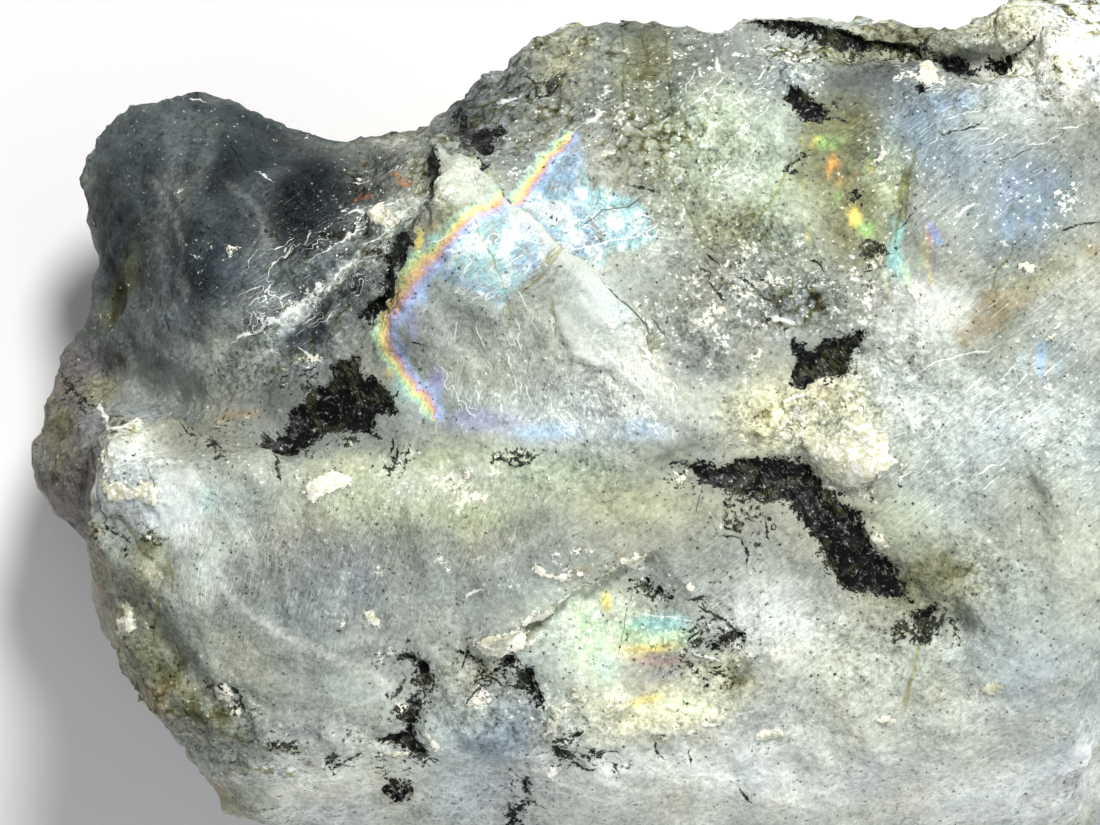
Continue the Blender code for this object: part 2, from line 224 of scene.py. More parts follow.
def inside(places, outline):
    """Distance in sheet units from a closed outline, positive inside it."""
    edge = np.abs(from_line(places, outline + outline[:1]))
    crossed = np.zeros(len(places), int)
    x, y = places.T
    for (x0, y0), (x1, y1) in zip(outline, outline[1:] + outline[:1]):
        if y0 == y1:
            continue
        spans = (y0 > y) != (y1 > y)
        crossed += spans & (x < (x1 - x0) * (y - y0) / (y1 - y0) + x0)
    return np.where(crossed % 2 == 1, edge, -edge)


def soft_patch(places, patch):
    """How much of a soft oval patch each place has: its middle, half sizes and turn are given."""
    x, y, wide, high, turn = patch
    angle = math.radians(turn)
    off = places - (x, y)
    along = off[:, 0] * math.cos(angle) - off[:, 1] * math.sin(angle)
    across = off[:, 0] * math.sin(angle) + off[:, 1] * math.cos(angle)
    return np.exp(-(((along / wide) ** 2 + (across / high) ** 2) ** 1.4))


# ------------------------------------------------------------------ the feldspar's own colours
# Clear grey-green feldspar that turns slate where it is deep and clean, milky where it is full
# of fine cracks, and olive where weathering has crept in from the joints. The tints run into
# one another, so each is a soft patch laid over the ones before it.

INK = (0.03, 0.05, 0.06)
SLATE = (0.13, 0.17, 0.19)
PEWTER = (0.27, 0.30, 0.31)
ASH = (0.49, 0.52, 0.51)
SAGE = (0.60, 0.62, 0.58)
SILVER = (0.72, 0.76, 0.73)
PALE = (0.79, 0.82, 0.79)
MILK = (0.92, 0.94, 0.91)
MINT = (0.84, 0.88, 0.77)
LIME = (0.72, 0.75, 0.63)
BUTTER = (0.86, 0.86, 0.72)
CELADON = (0.73, 0.79, 0.67)
STRAW = (0.66, 0.66, 0.50)
OLIVE = (0.46, 0.47, 0.33)
PLUM = (0.43, 0.39, 0.38)
STEEL = (0.49, 0.57, 0.62)

TINTS = [
    # x, y, half sizes, turn, tint, strength; first the deep slate lobe
    (190, 235, 168, 170, 0, PEWTER, 1.0), (120, 200, 30, 90, 0, SLATE, 0.7),
    (196, 262, 40, 66, -10, SLATE, 1.0),
    (215, 160, 30, 50, 0, SLATE, 0.8), (300, 190, 44, 62, -10, SLATE, 0.9),
    (302, 195, 34, 46, -10, INK, 1.0), (196, 275, 22, 46, -8, INK, 0.7), (150, 210, 12, 50, 0, INK, 0.4),
    (245, 160, 30, 22, 20, INK, 0.6), (200, 300, 18, 34, 0, INK, 0.5), (345, 165, 60, 26, -15, SLATE, 0.5),
    (215, 108, 110, 14, -6, SLATE, 0.8), (160, 150, 26, 60, 0, PEWTER, 0.6),
    (165, 250, 14, 60, 10, ASH, 0.35),
    (120, 290, 12, 52, -22, OLIVE, 0.5), (130, 350, 44, 30, 0, PEWTER, 0.6),
    (200, 392, 80, 36, 0, SAGE, 0.6), (190, 340, 50, 40, 30, ASH, 0.5),
    (160, 380, 34, 16, 30, SILVER, 0.5), (240, 330, 60, 26, 35, ASH, 0.8), (210, 345, 26, 16, 30, SAGE, 0.6),
    (330, 300, 80, 45, 35, PEWTER, 0.7), (300, 340, 30, 14, 35, SLATE, 0.6), (360, 220, 36, 16, 40, ASH, 0.6),
    (392, 216, 26, 18, 20, SILVER, 0.7), (270, 400, 40, 26, 30, PEWTER, 0.7),
    (380, 160, 34, 16, -10, PEWTER, 0.7),
    # painted shade: the last patch on the next line darkens the ledge at the foot of the lobe
    (240, 440, 40, 20, 0, ASH, 0.7), (345, 440, 60, 16, 0, PEWTER, 0.5), (165, 418, 46, 16, 0, PEWTER, 0.6),
    (150, 318, 30, 40, 0, ASH, 0.35), (330, 215, 40, 40, 0, SLATE, 0.6), (240, 215, 14, 60, -20, SLATE, 0.5),
    (176, 180, 10, 50, 12, ASH, 0.3), (262, 250, 10, 46, -20, ASH, 0.3), (285, 160, 40, 12, -10, INK, 0.6),
    (120, 130, 44, 26, 0, PEWTER, 0.7), (186, 200, 22, 18, -30, ASH, 0.35),
    (266, 184, 13, 46, -8, PEWTER, 0.8),
    (255, 140, 34, 26, 0, SLATE, 0.8), (300, 240, 22, 26, -20, INK, 0.6), (345, 190, 30, 12, -20, INK, 0.5),
    (112, 250, 12, 50, 8, PEWTER, 0.6), (215, 225, 10, 40, -12, PEWTER, 0.6), (225, 175, 16, 22, 0, INK, 0.5),
    (300, 312, 60, 5, 40, SILVER, 0.7), (345, 272, 56, 6, 40, SILVER, 0.6), (330, 250, 50, 4, 42, ASH, 0.7),
    (285, 338, 44, 6, 40, SILVER, 0.6), (375, 240, 30, 6, 40, SILVER, 0.6), (318, 328, 60, 5, 42, SLATE, 0.6),
    (352, 294, 50, 5, 42, SLATE, 0.6), (150, 190, 8, 46, 10, SLATE, 0.6), (205, 150, 8, 36, -6, ASH, 0.3),
    (240, 270, 12, 34, -20, PEWTER, 0.7), (105, 200, 10, 40, 10, SLATE, 0.5),
    (280, 128, 40, 8, -14, INK, 0.4),
    # the steep tab at the near end
    (72, 440, 44, 100, 0, PLUM, 0.9), (60, 440, 20, 40, 0, OLIVE, 0.6), (66, 500, 36, 60, 0, PLUM, 0.6),
    (90, 430, 16, 40, 0, ASH, 0.4), (85, 545, 30, 35, 0, PLUM, 0.7),
    (80, 370, 20, 30, 0, PLUM, 0.6), (100, 395, 16, 20, 0, STRAW, 0.5),
    # the broad smooth field
    (285, 570, 190, 124, 0, SAGE, 1.0), (320, 590, 120, 70, 0, ASH, 0.7),
    (340, 560, 90, 40, 0, PLUM, 0.15), (215, 560, 22, 60, -20, SILVER, 0.8),
    (250, 650, 60, 30, 0, SAGE, 0.7), (430, 500, 110, 34, 0, CELADON, 0.7), (390, 470, 80, 26, 0, LIME, 0.6),
    (520, 470, 120, 24, 0, CELADON, 0.7), (450, 482, 70, 22, 0, PALE, 0.7),
    (240, 490, 60, 30, 0, SILVER, 0.7), (330, 452, 50, 16, 0, ASH, 0.5),
    (420, 560, 60, 40, 0, SAGE, 0.6), (138, 460, 30, 40, 0, PALE, 0.9), (180, 505, 40, 30, 15, MILK, 0.8),
    (150, 500, 40, 22, 0, MILK, 0.6), (128, 600, 30, 92, 0, OLIVE, 0.35), (158, 560, 18, 40, 0, STRAW, 0.5),
    (104, 620, 16, 120, 0, SILVER, 0.7), (165, 748, 90, 18, -38, STRAW, 0.8),
    (195, 705, 60, 26, -35, OLIVE, 0.6),
    (150, 650, 24, 50, -10, OLIVE, 0.5), (330, 720, 110, 34, 0, SAGE, 0.8), (440, 640, 60, 40, 0, SAGE, 0.8),
    (360, 690, 50, 20, 0, SILVER, 0.4), (330, 790, 130, 44, 0, MILK, 0.8), (240, 800, 34, 34, 0, OLIVE, 0.6),
    (440, 800, 60, 30, 0, PALE, 0.6), (460, 740, 20, 40, 20, SILVER, 0.7),
    # the cleavage plate
    (465, 188, 44, 28, -35, LIME, 0.8), (480, 186, 20, 10, 40, STRAW, 0.5),
    (445, 222, 40, 14, 30, STRAW, 0.7), (470, 272, 62, 52, 0, SILVER, 0.7),
    (435, 345, 56, 44, 0, SAGE, 0.8), (520, 362, 70, 46, 0, SILVER, 0.55), (470, 330, 30, 20, 0, PLUM, 0.35),
    (575, 300, 44, 56, -40, SILVER, 0.8), (600, 330, 36, 44, -40, SILVER, 0.7),
    (604, 368, 40, 28, 0, PALE, 0.8), (640, 380, 30, 24, 0, BUTTER, 0.6),
    # painted highlight: the next three patches light the step along the plate's edge, which faces the key
    # lamp
    (540, 236, 52, 11, -45, MILK, 0.6), (600, 292, 44, 14, -46, PALE, 0.8),
    (642, 366, 30, 22, -40, MILK, 0.6),
    (610, 400, 70, 30, 0, PALE, 0.8), (540, 410, 60, 20, 0, SILVER, 0.7), (470, 412, 60, 22, 0, STEEL, 0.5),
    # painted light: the last patch on the next line lightens a shallow valley against its shade
    (440, 400, 30, 20, 0, SILVER, 0.5), (550, 425, 70, 24, 0, PALE, 0.8), (650, 425, 70, 20, 0, PALE, 0.8),
    # the grainy ground above it
    (590, 70, 120, 60, 0, ASH, 1.0), (475, 110, 60, 44, 30, PEWTER, 0.8), (505, 160, 36, 34, 0, ASH, 0.9),
    (560, 40, 80, 22, 4, ASH, 0.8), (540, 100, 50, 30, 0, ASH, 0.5), (640, 70, 34, 90, 0, OLIVE, 0.8),
    (560, 60, 30, 40, 0, STRAW, 0.5), (610, 120, 40, 40, 0, SAGE, 0.5),
    (690, 90, 30, 90, 0, PEWTER, 0.7), (735, 95, 40, 50, 0, ASH, 0.5), (620, 20, 60, 12, 0, PEWTER, 0.6),
    (720, 50, 40, 40, 0, ASH, 0.7),
    (720, 110, 50, 30, 0, SAGE, 0.6), (735, 160, 70, 40, 0, SAGE, 0.8), (740, 230, 80, 50, 0, STRAW, 0.7),
    (760, 280, 80, 44, 0, ASH, 0.8), (752, 228, 40, 26, 30, OLIVE, 0.7), (800, 250, 60, 40, 0, SAGE, 0.7),
    (720, 300, 60, 30, 0, PALE, 0.4), (625, 165, 50, 46, 0, SAGE, 0.7), (670, 250, 40, 60, 0, SILVER, 0.8),
    (675, 160, 36, 70, 0, OLIVE, 0.4), (670, 170, 40, 40, 0, ASH, 0.4),
    (690, 260, 30, 60, -30, PEWTER, 0.4), (800, 296, 70, 30, 10, ASH, 0.7),
    (740, 335, 60, 28, 0, SAGE, 0.7),
    (700, 290, 30, 40, 0, SAGE, 0.7),
    (725, 150, 66, 66, 0, CELADON, 0.7), (790, 205, 40, 60, 0, CELADON, 0.5),
    (735, 180, 30, 30, 0, PALE, 0.4),
    # the far end
    (852, 85, 70, 40, 0, ASH, 0.9), (870, 70, 60, 16, 8, PEWTER, 0.6), (800, 62, 24, 40, 0, SILVER, 0.8),
    (900, 40, 100, 16, 8, STRAW, 0.7), (915, 36, 90, 10, 8, PEWTER, 0.5), (832, 132, 40, 44, 0, OLIVE, 1.0),
    (845, 180, 40, 64, 0, OLIVE, 0.8), (862, 225, 24, 40, 0, OLIVE, 0.7), (896, 190, 14, 60, -14, OLIVE, 0.5),
    (815, 150, 20, 40, 0, OLIVE, 0.5), (900, 110, 30, 30, 0, ASH, 0.6),
    (935, 130, 56, 40, 15, STEEL, 0.9), (970, 200, 50, 60, 20, SILVER, 0.6),
    (960, 160, 40, 30, 0, STEEL, 0.4),
    (1030, 195, 60, 46, 30, STEEL, 0.9), (1000, 110, 60, 30, 20, SILVER, 0.5),
    (1066, 46, 80, 60, 0, MILK, 1.0), (1010, 20, 24, 24, 0, LIME, 0.5), (862, 88, 44, 30, 0, PEWTER, 0.5),
    (1090, 130, 50, 50, 0, ASH, 0.7), (985, 318, 40, 30, 40, OLIVE, 0.8), (1040, 275, 50, 16, 20, STRAW, 0.6),
    (1075, 310, 50, 46, 0, PALE, 0.7), (920, 340, 56, 54, 0, PALE, 0.9), (905, 300, 30, 20, 0, PALE, 0.6),
    (935, 312, 50, 30, 0, MILK, 0.6), (880, 190, 20, 50, -10, CELADON, 0.5),
    (960, 420, 110, 62, 0, SILVER, 1.0), (960, 400, 50, 30, 0, PALE, 0.5),
    (1085, 475, 44, 66, 0, SILVER, 0.9), (1050, 400, 50, 50, 0, SILVER, 0.5),
    (770, 410, 70, 38, 0, BUTTER, 0.9), (830, 400, 36, 30, 0, BUTTER, 0.9), (720, 345, 40, 40, 0, SAGE, 0.5),
    (840, 440, 50, 40, 0, BUTTER, 0.8), (940, 490, 60, 30, 0, SILVER, 0.8), (905, 520, 50, 34, 0, LIME, 0.7),
    (960, 565, 70, 36, 10, STRAW, 0.6), (925, 600, 44, 26, 0, OLIVE, 0.6),
    (1000, 540, 60, 40, 0, SILVER, 0.5), (1050, 590, 60, 50, 0, SILVER, 0.8),
    (990, 660, 100, 44, 0, SILVER, 0.8), (1060, 680, 60, 40, 0, SAGE, 0.5), (760, 540, 50, 40, 0, SAGE, 0.8),
    (700, 540, 60, 40, 0, SAGE, 0.7), (770, 625, 40, 64, 20, MILK, 0.8), (820, 640, 50, 40, 0, PALE, 0.7),
    (620, 505, 80, 30, 0, LIME, 0.5), (650, 540, 40, 20, 0, SAGE, 0.5), (560, 570, 60, 34, 0, SAGE, 0.7),
    (590, 640, 64, 52, 0, MINT, 0.9), (690, 690, 60, 30, 0, BUTTER, 0.6), (655, 672, 44, 20, 0, PLUM, 0.4),
    (630, 715, 90, 26, 0, BUTTER, 0.9), (655, 745, 44, 16, 0, OLIVE, 0.6),
    (500, 740, 40, 50, -30, STEEL, 0.6),
    (560, 720, 40, 30, 0, SILVER, 0.5), (810, 700, 60, 40, 0, PALE, 0.7), (880, 680, 50, 50, 0, SILVER, 0.7),
    # partly painted light: the MILK patches along the near lower edge, here and at 330, 790, are milky stone
    # made lighter for the slope that falls away from the key lamp
    (740, 680, 26, 26, 0, STRAW, 0.6), (700, 780, 60, 20, 0, BUTTER, 0.4), (560, 790, 150, 44, 0, MILK, 0.55),
    (800, 785, 170, 60, 0, MILK, 0.8), (1000, 780, 150, 60, 14, MILK, 0.9), (960, 725, 120, 44, 0, PALE, 0.8),
    (1060, 700, 60, 60, 0, PALE, 0.6), (690, 785, 90, 40, 0, MILK, 0.7), (420, 770, 60, 40, 0, PALE, 0.6),
    (1190, 560, 90, 150, 0, SILVER, 0.9), (1210, 380, 90, 60, 0, ASH, 0.8),
    (1230, 220, 60, 120, 0, STEEL, 0.8),
    (1170, 690, 70, 60, 0, SAGE, 0.8), (1265, 470, 40, 60, 0, OLIVE, 0.6), (1150, 300, 40, 80, 0, PALE, 0.5),
]


def linear(colour):
    """The same colour in the even light values that the shaders reckon in."""
    return np.array([c / 12.92 if c <= 0.04045 else ((c + 0.055) / 1.055) ** 2.4 for c in colour])


def washed(colour, tint, share):
    """The colours, moved towards a tint by a share from 0 to 1 at each point."""
    return colour + (linear(tint) - colour) * share[:, None]


def tinted(points, places):
    """The stone's own colour at each point of the face."""
    loose = wandering(points, places, 11.0, 6.0, 31)
    colour = np.tile(linear(SAGE), (len(points), 1))
    for *patch, tint, strength in TINTS:
        colour = washed(colour, tint, soft_patch(loose, patch) * strength)
    return colour


# ------------------------------------------------------------------ the minerals grown into it
# Black grains and short laths of iron and titanium ore with mica, grown between the feldspar
# crystals. They weather out a little below the face, and where they are freshly broken their
# sparkle is painted on as grey and silver flecks, a painted highlight.
# Each is an outline on the sheet, or a stroke with a half width.

DARK_OUTLINES = [
    # the triangle under the lobe
    [(254, 446), (271, 440), (288, 429), (290, 414), (305, 406), (312, 392), (328, 376), (340, 358),
     (362, 354), (360, 372), (376, 384), (394, 400), (399, 412), (382, 414), (373, 434), (358, 431),
     (336, 430), (314, 436), (305, 446), (293, 455), (278, 452), (262, 447)],
    # two dark strips along the cleft beside the plate
    [(431, 150), (439, 160), (444, 182), (438, 200), (429, 212), (419, 216), (421, 196), (424, 170)],
    [(414, 232), (421, 248), (412, 262), (402, 276), (395, 294), (386, 314), (370, 324), (358, 320),
     (374, 304), (383, 282), (388, 258), (398, 242)],
    # the block in the far half
    [(796, 342), (812, 348), (830, 344), (846, 338), (862, 328), (872, 332), (862, 342), (856, 356),
     (850, 370), (842, 378), (828, 374), (816, 380), (808, 386), (798, 384), (800, 370), (793, 356)],
    # the long bent lath
    [(677, 464), (690, 460), (714, 460), (736, 458), (768, 458), (794, 463), (806, 473), (820, 484),
     (840, 497), (854, 510), (863, 527), (870, 543), (881, 556), (892, 572), (905, 602), (890, 598),
     (868, 600), (842, 588), (832, 568), (823, 551), (816, 537), (808, 524), (800, 511), (781, 506),
     (762, 507), (745, 496), (725, 490), (697, 484), (692, 472)],
    # the seam along the far edge
    [(737, 18), (758, 15), (795, 15), (821, 21), (847, 29), (873, 38), (894, 43), (917, 48), (941, 55),
     (965, 62), (980, 62), (991, 58), (1006, 49), (1030, 38), (1016, 52), (994, 64), (978, 70), (951, 79),
     (943, 66), (923, 60), (905, 56), (873, 47), (836, 48), (824, 52), (812, 42), (798, 30), (776, 23),
     (758, 22)],
    # the pit below it, and grains near the colour spots
    [(786, 82), (796, 88), (808, 95), (820, 104), (828, 114), (820, 122), (802, 124), (790, 114), (784, 98)],
    [(915, 88), (928, 86), (940, 88), (940, 92), (925, 95), (915, 94)],
    [(849, 194), (856, 190), (864, 194), (864, 199), (857, 196), (850, 198)],
    # the speckled nest in the near end of the grainy ground
    [(446, 139), (456, 128), (462, 116), (467, 127), (480, 132), (498, 126), (503, 131), (487, 140),
     (484, 150), (471, 145), (455, 145)],
    # the nest of grains on the lower slope
    [(524, 670), (532, 669), (534, 678), (539, 690), (543, 705), (537, 700), (530, 686), (520, 682)],
]
DARK_STROKES = [
    # half width, then the points
    (2.5, [(455, 122), (465, 108), (470, 104)]), (3.5, [(470, 154), (480, 160), (482, 168)]),
    (2.5, [(526, 96), (536, 90), (546, 96), (560, 84)]), (2.2, [(540, 82), (530, 78)]),
    (1.4, [(824, 119), (834, 121), (846, 124)]), (3.0, [(784, 168), (794, 162), (803, 157)]),
    (2.0, [(858, 246), (866, 238), (873, 242), (877, 254), (885, 256)]), (2.6, [(860, 259), (872, 262)]),
    (1.3, [(1061, 229), (1078, 226), (1096, 222)]), (0.8, [(947, 136), (960, 129), (980, 122)]),
    (1.0, [(900, 225), (914, 216)]), (2.0, [(500, 458), (514, 462), (530, 457)]),
    (1.4, [(508, 455), (518, 452)]),
    (3.4, [(637, 584), (652, 588), (672, 596)]), (1.6, [(690, 640), (697, 630)]),
    (5.0, [(730, 636), (735, 637)]),
    (3.0, [(714, 648), (722, 640), (730, 636)]), (3.4, [(706, 686), (708, 690)]),
    (3.0, [(712, 672), (713, 678)]),
    (2.6, [(716, 619), (726, 622), (732, 632)]), (1.8, [(704, 612), (710, 614)]),
    (2.4, [(698, 600), (704, 600)]),
    (3.6, [(466, 654), (471, 652)]), (1.4, [(465, 664), (470, 654)]), (3.4, [(478, 657), (486, 661)]),
    (4.0, [(502, 669), (508, 660), (511, 655)]), (1.5, [(486, 676), (505, 680)]),
    (1.6, [(472, 701), (487, 687)]),
    (1.6, [(514, 682), (524, 680)]), (3.2, [(571, 735), (576, 732)]), (4.0, [(558, 750), (568, 762)]),
    (3.0, [(590, 746), (592, 756)]), (2.4, [(600, 756), (608, 754), (616, 756)]),
    (1.4, [(571, 772), (590, 773)]),
    (3.4, [(524, 782), (530, 792), (522, 804)]), (3.0, [(530, 790), (536, 800)]),
    (4.0, [(510, 802), (513, 818)]), (1.5, [(692, 751), (693, 754)]), (1.4, [(616, 774), (619, 776)]),
    (4.2, [(404, 668), (412, 662), (421, 669)]), (3.0, [(425, 670), (427, 684)]),
    (2.4, [(401, 682), (397, 690)]),
    (4.0, [(414, 696), (421, 704)]), (3.6, [(418, 712), (410, 724), (412, 738)]),
    (3.0, [(408, 738), (392, 746)]),
    (4.0, [(404, 738), (412, 750), (422, 758)]), (3.4, [(394, 740), (378, 742)]),
    (2.2, [(424, 762), (438, 765)]),
    (2.8, [(386, 790), (396, 797), (404, 794)]), (3.4, [(328, 760), (340, 762)]),
    (2.0, [(344, 758), (352, 754)]),
    (3.0, [(908, 612), (922, 618), (934, 612)]), (3.0, [(918, 624), (926, 632), (920, 644)]),
    (2.0, [(908, 634), (916, 642)]), (2.0, [(936, 628), (946, 620)]), (1.6, [(762, 520), (766, 538)]),
    (1.3, [(742, 536), (747, 562)]), (1.2, [(730, 532), (742, 536)]), (2.2, [(188, 428), (194, 430)]),
    (2.8, [(213, 434), (212, 446)]), (2.2, [(206, 448), (210, 444)]), (2.6, [(271, 462), (276, 474)]),
    (2.4, [(232, 688), (244, 694), (248, 708)]), (2.2, [(66, 378), (70, 390), (78, 398), (92, 401)]),
    (2.4, [(76, 402), (82, 410)]), (2.0, [(68, 520), (75, 524)]), (2.2, [(113, 534), (124, 540)]),
    (2.2, [(386, 450), (390, 444)]), (1.8, [(396, 452), (392, 466)]), (1.5, [(417, 346), (421, 348)]),
    (1.8, [(270, 232), (275, 238)]), (2.0, [(655, 196), (640, 190)]), (1.0, [(843, 512), (836, 500)]),
    (1.6, [(770, 522), (775, 530)]), (1.4, [(660, 745), (664, 750)]), (2.2, [(742, 794), (746, 798)]),
    (1.8, [(712, 262), (722, 268)]), (1.6, [(740, 280), (752, 284)]), (1.8, [(716, 292), (724, 300)]),
    (1.6, [(706, 276), (712, 280)]), (1.6, [(760, 296), (768, 300)]), (1.3, [(812, 256), (824, 264)]),
]
DARK_SINK = 0.32  # millimetres below the face

# Cream crust and milky splinters: feldspar crushed white along the joints, standing a little
# proud of the face with crisp, frayed edges.
CREAM_OUTLINES = [
    [(799, 438), (816, 434), (834, 431), (844, 417), (853, 417), (860, 405), (865, 417), (872, 425),
     (873, 436), (883, 437), (888, 452), (892, 460), (883, 469), (868, 482), (850, 493), (831, 484),
     (821, 471), (803, 461)],
    [(302, 491), (314, 475), (338, 471), (346, 480), (344, 493), (327, 497), (312, 504)],
    [(113, 601), (128, 596), (138, 628), (130, 637), (119, 633)],
    [(868, 532), (877, 525), (886, 543), (879, 546), (869, 542)],
    [(106, 482), (118, 478), (134, 486), (150, 482), (162, 494), (158, 506), (146, 503), (128, 498),
     (110, 500)],
    [(479, 639), (493, 632), (516, 625), (532, 630), (532, 648), (509, 655), (486, 650)],
    [(918, 62), (930, 60), (940, 72), (942, 84), (926, 88), (916, 80)],
    [(980, 60), (996, 52), (1010, 47), (1012, 54), (996, 64), (984, 66)],
    [(675, 476), (690, 470), (696, 474), (684, 481)],
    [(472, 703), (484, 694), (495, 692), (494, 700), (482, 709)],
    [(212, 690), (222, 684), (230, 692), (226, 702), (214, 700)],
    [(904, 288), (916, 284), (926, 296), (930, 306), (912, 304)],
    [(875, 262), (886, 260), (888, 270), (878, 270)],
    [(600, 578), (618, 566), (634, 557), (646, 560), (640, 572), (620, 577), (606, 586)],
    [(366, 212), (380, 206), (394, 214), (388, 226), (372, 224)],
]
CREAM_AND_LIT_LEDGE_STROKES = [
    (3.4, [(527, 624), (546, 612), (566, 600), (588, 588), (604, 576)]),
    (1.6, [(255, 332), (272, 318), (290, 304)]),
    (1.4, [(290, 304), (308, 296), (322, 288)]), (2.0, [(240, 338), (256, 330)]),
    (3.0, [(228, 249), (236, 251)]),
    (1.4, [(192, 98), (200, 100)]), (1.6, [(262, 173), (268, 177)]), (2.2, [(302, 352), (314, 360)]),
    (3.0, [(308, 362), (320, 354)]), (3.4, [(370, 622), (375, 626)]), (2.2, [(352, 214), (362, 210)]),
    (3.4, [(566, 488), (574, 492)]), (3.0, [(690, 584), (698, 588)]),
    (4.0, [(536, 566), (548, 572), (562, 574)]),
    (3.4, [(700, 722), (716, 726)]), (5.0, [(760, 738), (778, 734)]), (3.4, [(552, 720), (566, 700)]),
    (3.4, [(575, 694), (590, 700)]), (4.0, [(556, 722), (548, 730)]), (3.0, [(556, 772), (548, 778)]),
    (4.0, [(398, 706), (409, 703)]), (4.0, [(428, 736), (436, 746)]), (3.4, [(404, 752), (396, 758)]),
    # painted highlight: the next two strokes are light on the ledge at the foot of the lobe, drawn as white
    # lines
    (2.6, [(100, 404), (108, 420), (112, 434)]), (2.0, [(118, 438), (150, 428), (178, 424)]),
    (3.0, [(802, 412), (812, 404)]), (3.4, [(880, 160), (890, 150)]), (2.6, [(960, 212), (972, 206)]),
    (5.0, [(985, 690), (1000, 694)]), (3.0, [(880, 722), (894, 716)]), (3.0, [(1048, 342), (1064, 330)]),
    (3.0, [(712, 306), (724, 312)]), (2.6, [(774, 318), (790, 322)]), (2.8, [(728, 286), (738, 292)]),
    (2.8, [(640, 346), (650, 362), (660, 372)]), (2.4, [(604, 352), (616, 362)]),
    (2.2, [(788, 400), (800, 396)]),
    (2.4, [(500, 100), (512, 96)]), (2.0, [(586, 118), (600, 112)]), (2.6, [(716, 60), (722, 72)]),
    (3.0, [(460, 471), (467, 476)]), (2.9, [(472, 498), (481, 500)]), (3.0, [(541, 477), (545, 485)]),
    (2.8, [(576, 548), (590, 552)]),
    (2.8, [(556, 560), (580, 572)]), (3.0, [(1022, 262), (1034, 268)]), (3.0, [(1060, 190), (1076, 180)]),
    (2.2, [(470, 596), (478, 592)]),
]
CREAM_RISE = 0.28


# Loose grains of both lie scattered round them.
CREAM_DUST = [
    # x, y, half sizes, turn, strength
    (815, 420, 70, 46, 20, 1.0), (760, 380, 50, 30, 0, 0.7), (850, 470, 50, 40, 0, 0.8),
    (462, 182, 34, 16, 40, 0.8),
    (130, 490, 44, 30, 0, 0.7), (108, 450, 12, 50, 0, 0.6), (505, 645, 40, 18, -10, 0.9),
    (590, 588, 74, 10, 30, 0.9),
    (640, 566, 24, 12, 0, 0.8), (1064, 50, 60, 50, 0, 1.0), (930, 76, 30, 22, 0, 0.8),
    (790, 60, 26, 46, 0, 0.7),
    (745, 272, 90, 50, 0, 0.5), (800, 300, 70, 30, 10, 0.5), (240, 700, 60, 18, -20, 0.5),
    (580, 715, 70, 34, 0, 0.8), (625, 360, 46, 26, -30, 0.8),
    (900, 298, 40, 14, 0, 0.7), (724, 345, 60, 26, 0, 0.6), (388, 216, 30, 14, 0, 0.8),
    (290, 320, 50, 16, 30, 0.5),
    (325, 488, 30, 18, 0, 0.6), (480, 484, 110, 30, 0, 0.55), (470, 560, 110, 40, 0, 0.35),
    (640, 730, 60, 20, 0, 0.6), (730, 320, 50, 16, 0, 0.6), (880, 150, 30, 30, 0, 0.4),
    (600, 60, 80, 40, 0, 0.35), (1060, 200, 40, 20, 20, 0.5), (480, 700, 20, 14, 0, 0.8),
    (740, 640, 30, 60, 10, 0.5),
    (430, 745, 16, 12, 0, 0.8), (312, 360, 24, 12, 0, 0.8), (160, 620, 20, 60, 0, 0.35),
    (1080, 440, 40, 80, 0, 0.5),
    (990, 692, 30, 12, 0, 0.6), (1180, 420, 60, 40, 0, 0.8), (1230, 560, 40, 60, 0, 0.5),
]
ORE_DUST = [
    (335, 410, 62, 44, -20, 1.0), (275, 445, 30, 14, -20, 1.0), (400, 285, 16, 50, 20, 0.8),
    (434, 180, 10, 30, 0, 0.9),
    (760, 500, 90, 34, 0, 0.8), (850, 545, 50, 50, 0, 0.8), (755, 540, 30, 26, 0, 0.8),
    (920, 628, 34, 28, 0, 1.0),
    (820, 358, 50, 34, 0, 0.8), (500, 668, 46, 16, 10, 0.9), (532, 700, 16, 34, 0, 0.8),
    (710, 650, 46, 50, 0, 0.8),
    (590, 757, 46, 16, 0, 0.8), (410, 700, 30, 50, 0, 0.9), (400, 765, 40, 30, 0, 0.8),
    (345, 764, 30, 12, 0, 0.7),
    (515, 795, 30, 26, 0, 0.7), (475, 136, 34, 26, 0, 1.0), (545, 88, 34, 16, 0, 0.9),
    (815, 105, 30, 22, 0, 0.8),
    (868, 250, 20, 24, 0, 0.9), (790, 170, 20, 16, 0, 0.8), (228, 700, 40, 16, -20, 0.8),
    (75, 392, 26, 16, 0, 0.9),
    (512, 458, 30, 9, 0, 1.0), (214, 442, 24, 18, 0, 0.8), (130, 535, 36, 20, 0, 0.7),
    (160, 660, 20, 40, -10, 0.6),
    (260, 745, 50, 14, -20, 0.7), (655, 592, 34, 12, -20, 0.9), (890, 50, 130, 22, 6, 0.8),
    (390, 455, 20, 16, 0, 0.8), (572, 734, 14, 10, 0, 0.9), (730, 275, 40, 24, 0, 0.5),
    (650, 745, 26, 8, 0, 0.6),
    (700, 470, 60, 14, 0, 0.5), (270, 236, 10, 8, 0, 0.8), (64, 520, 12, 20, 0, 0.7),
    (1200, 460, 40, 60, 20, 0.9),
]
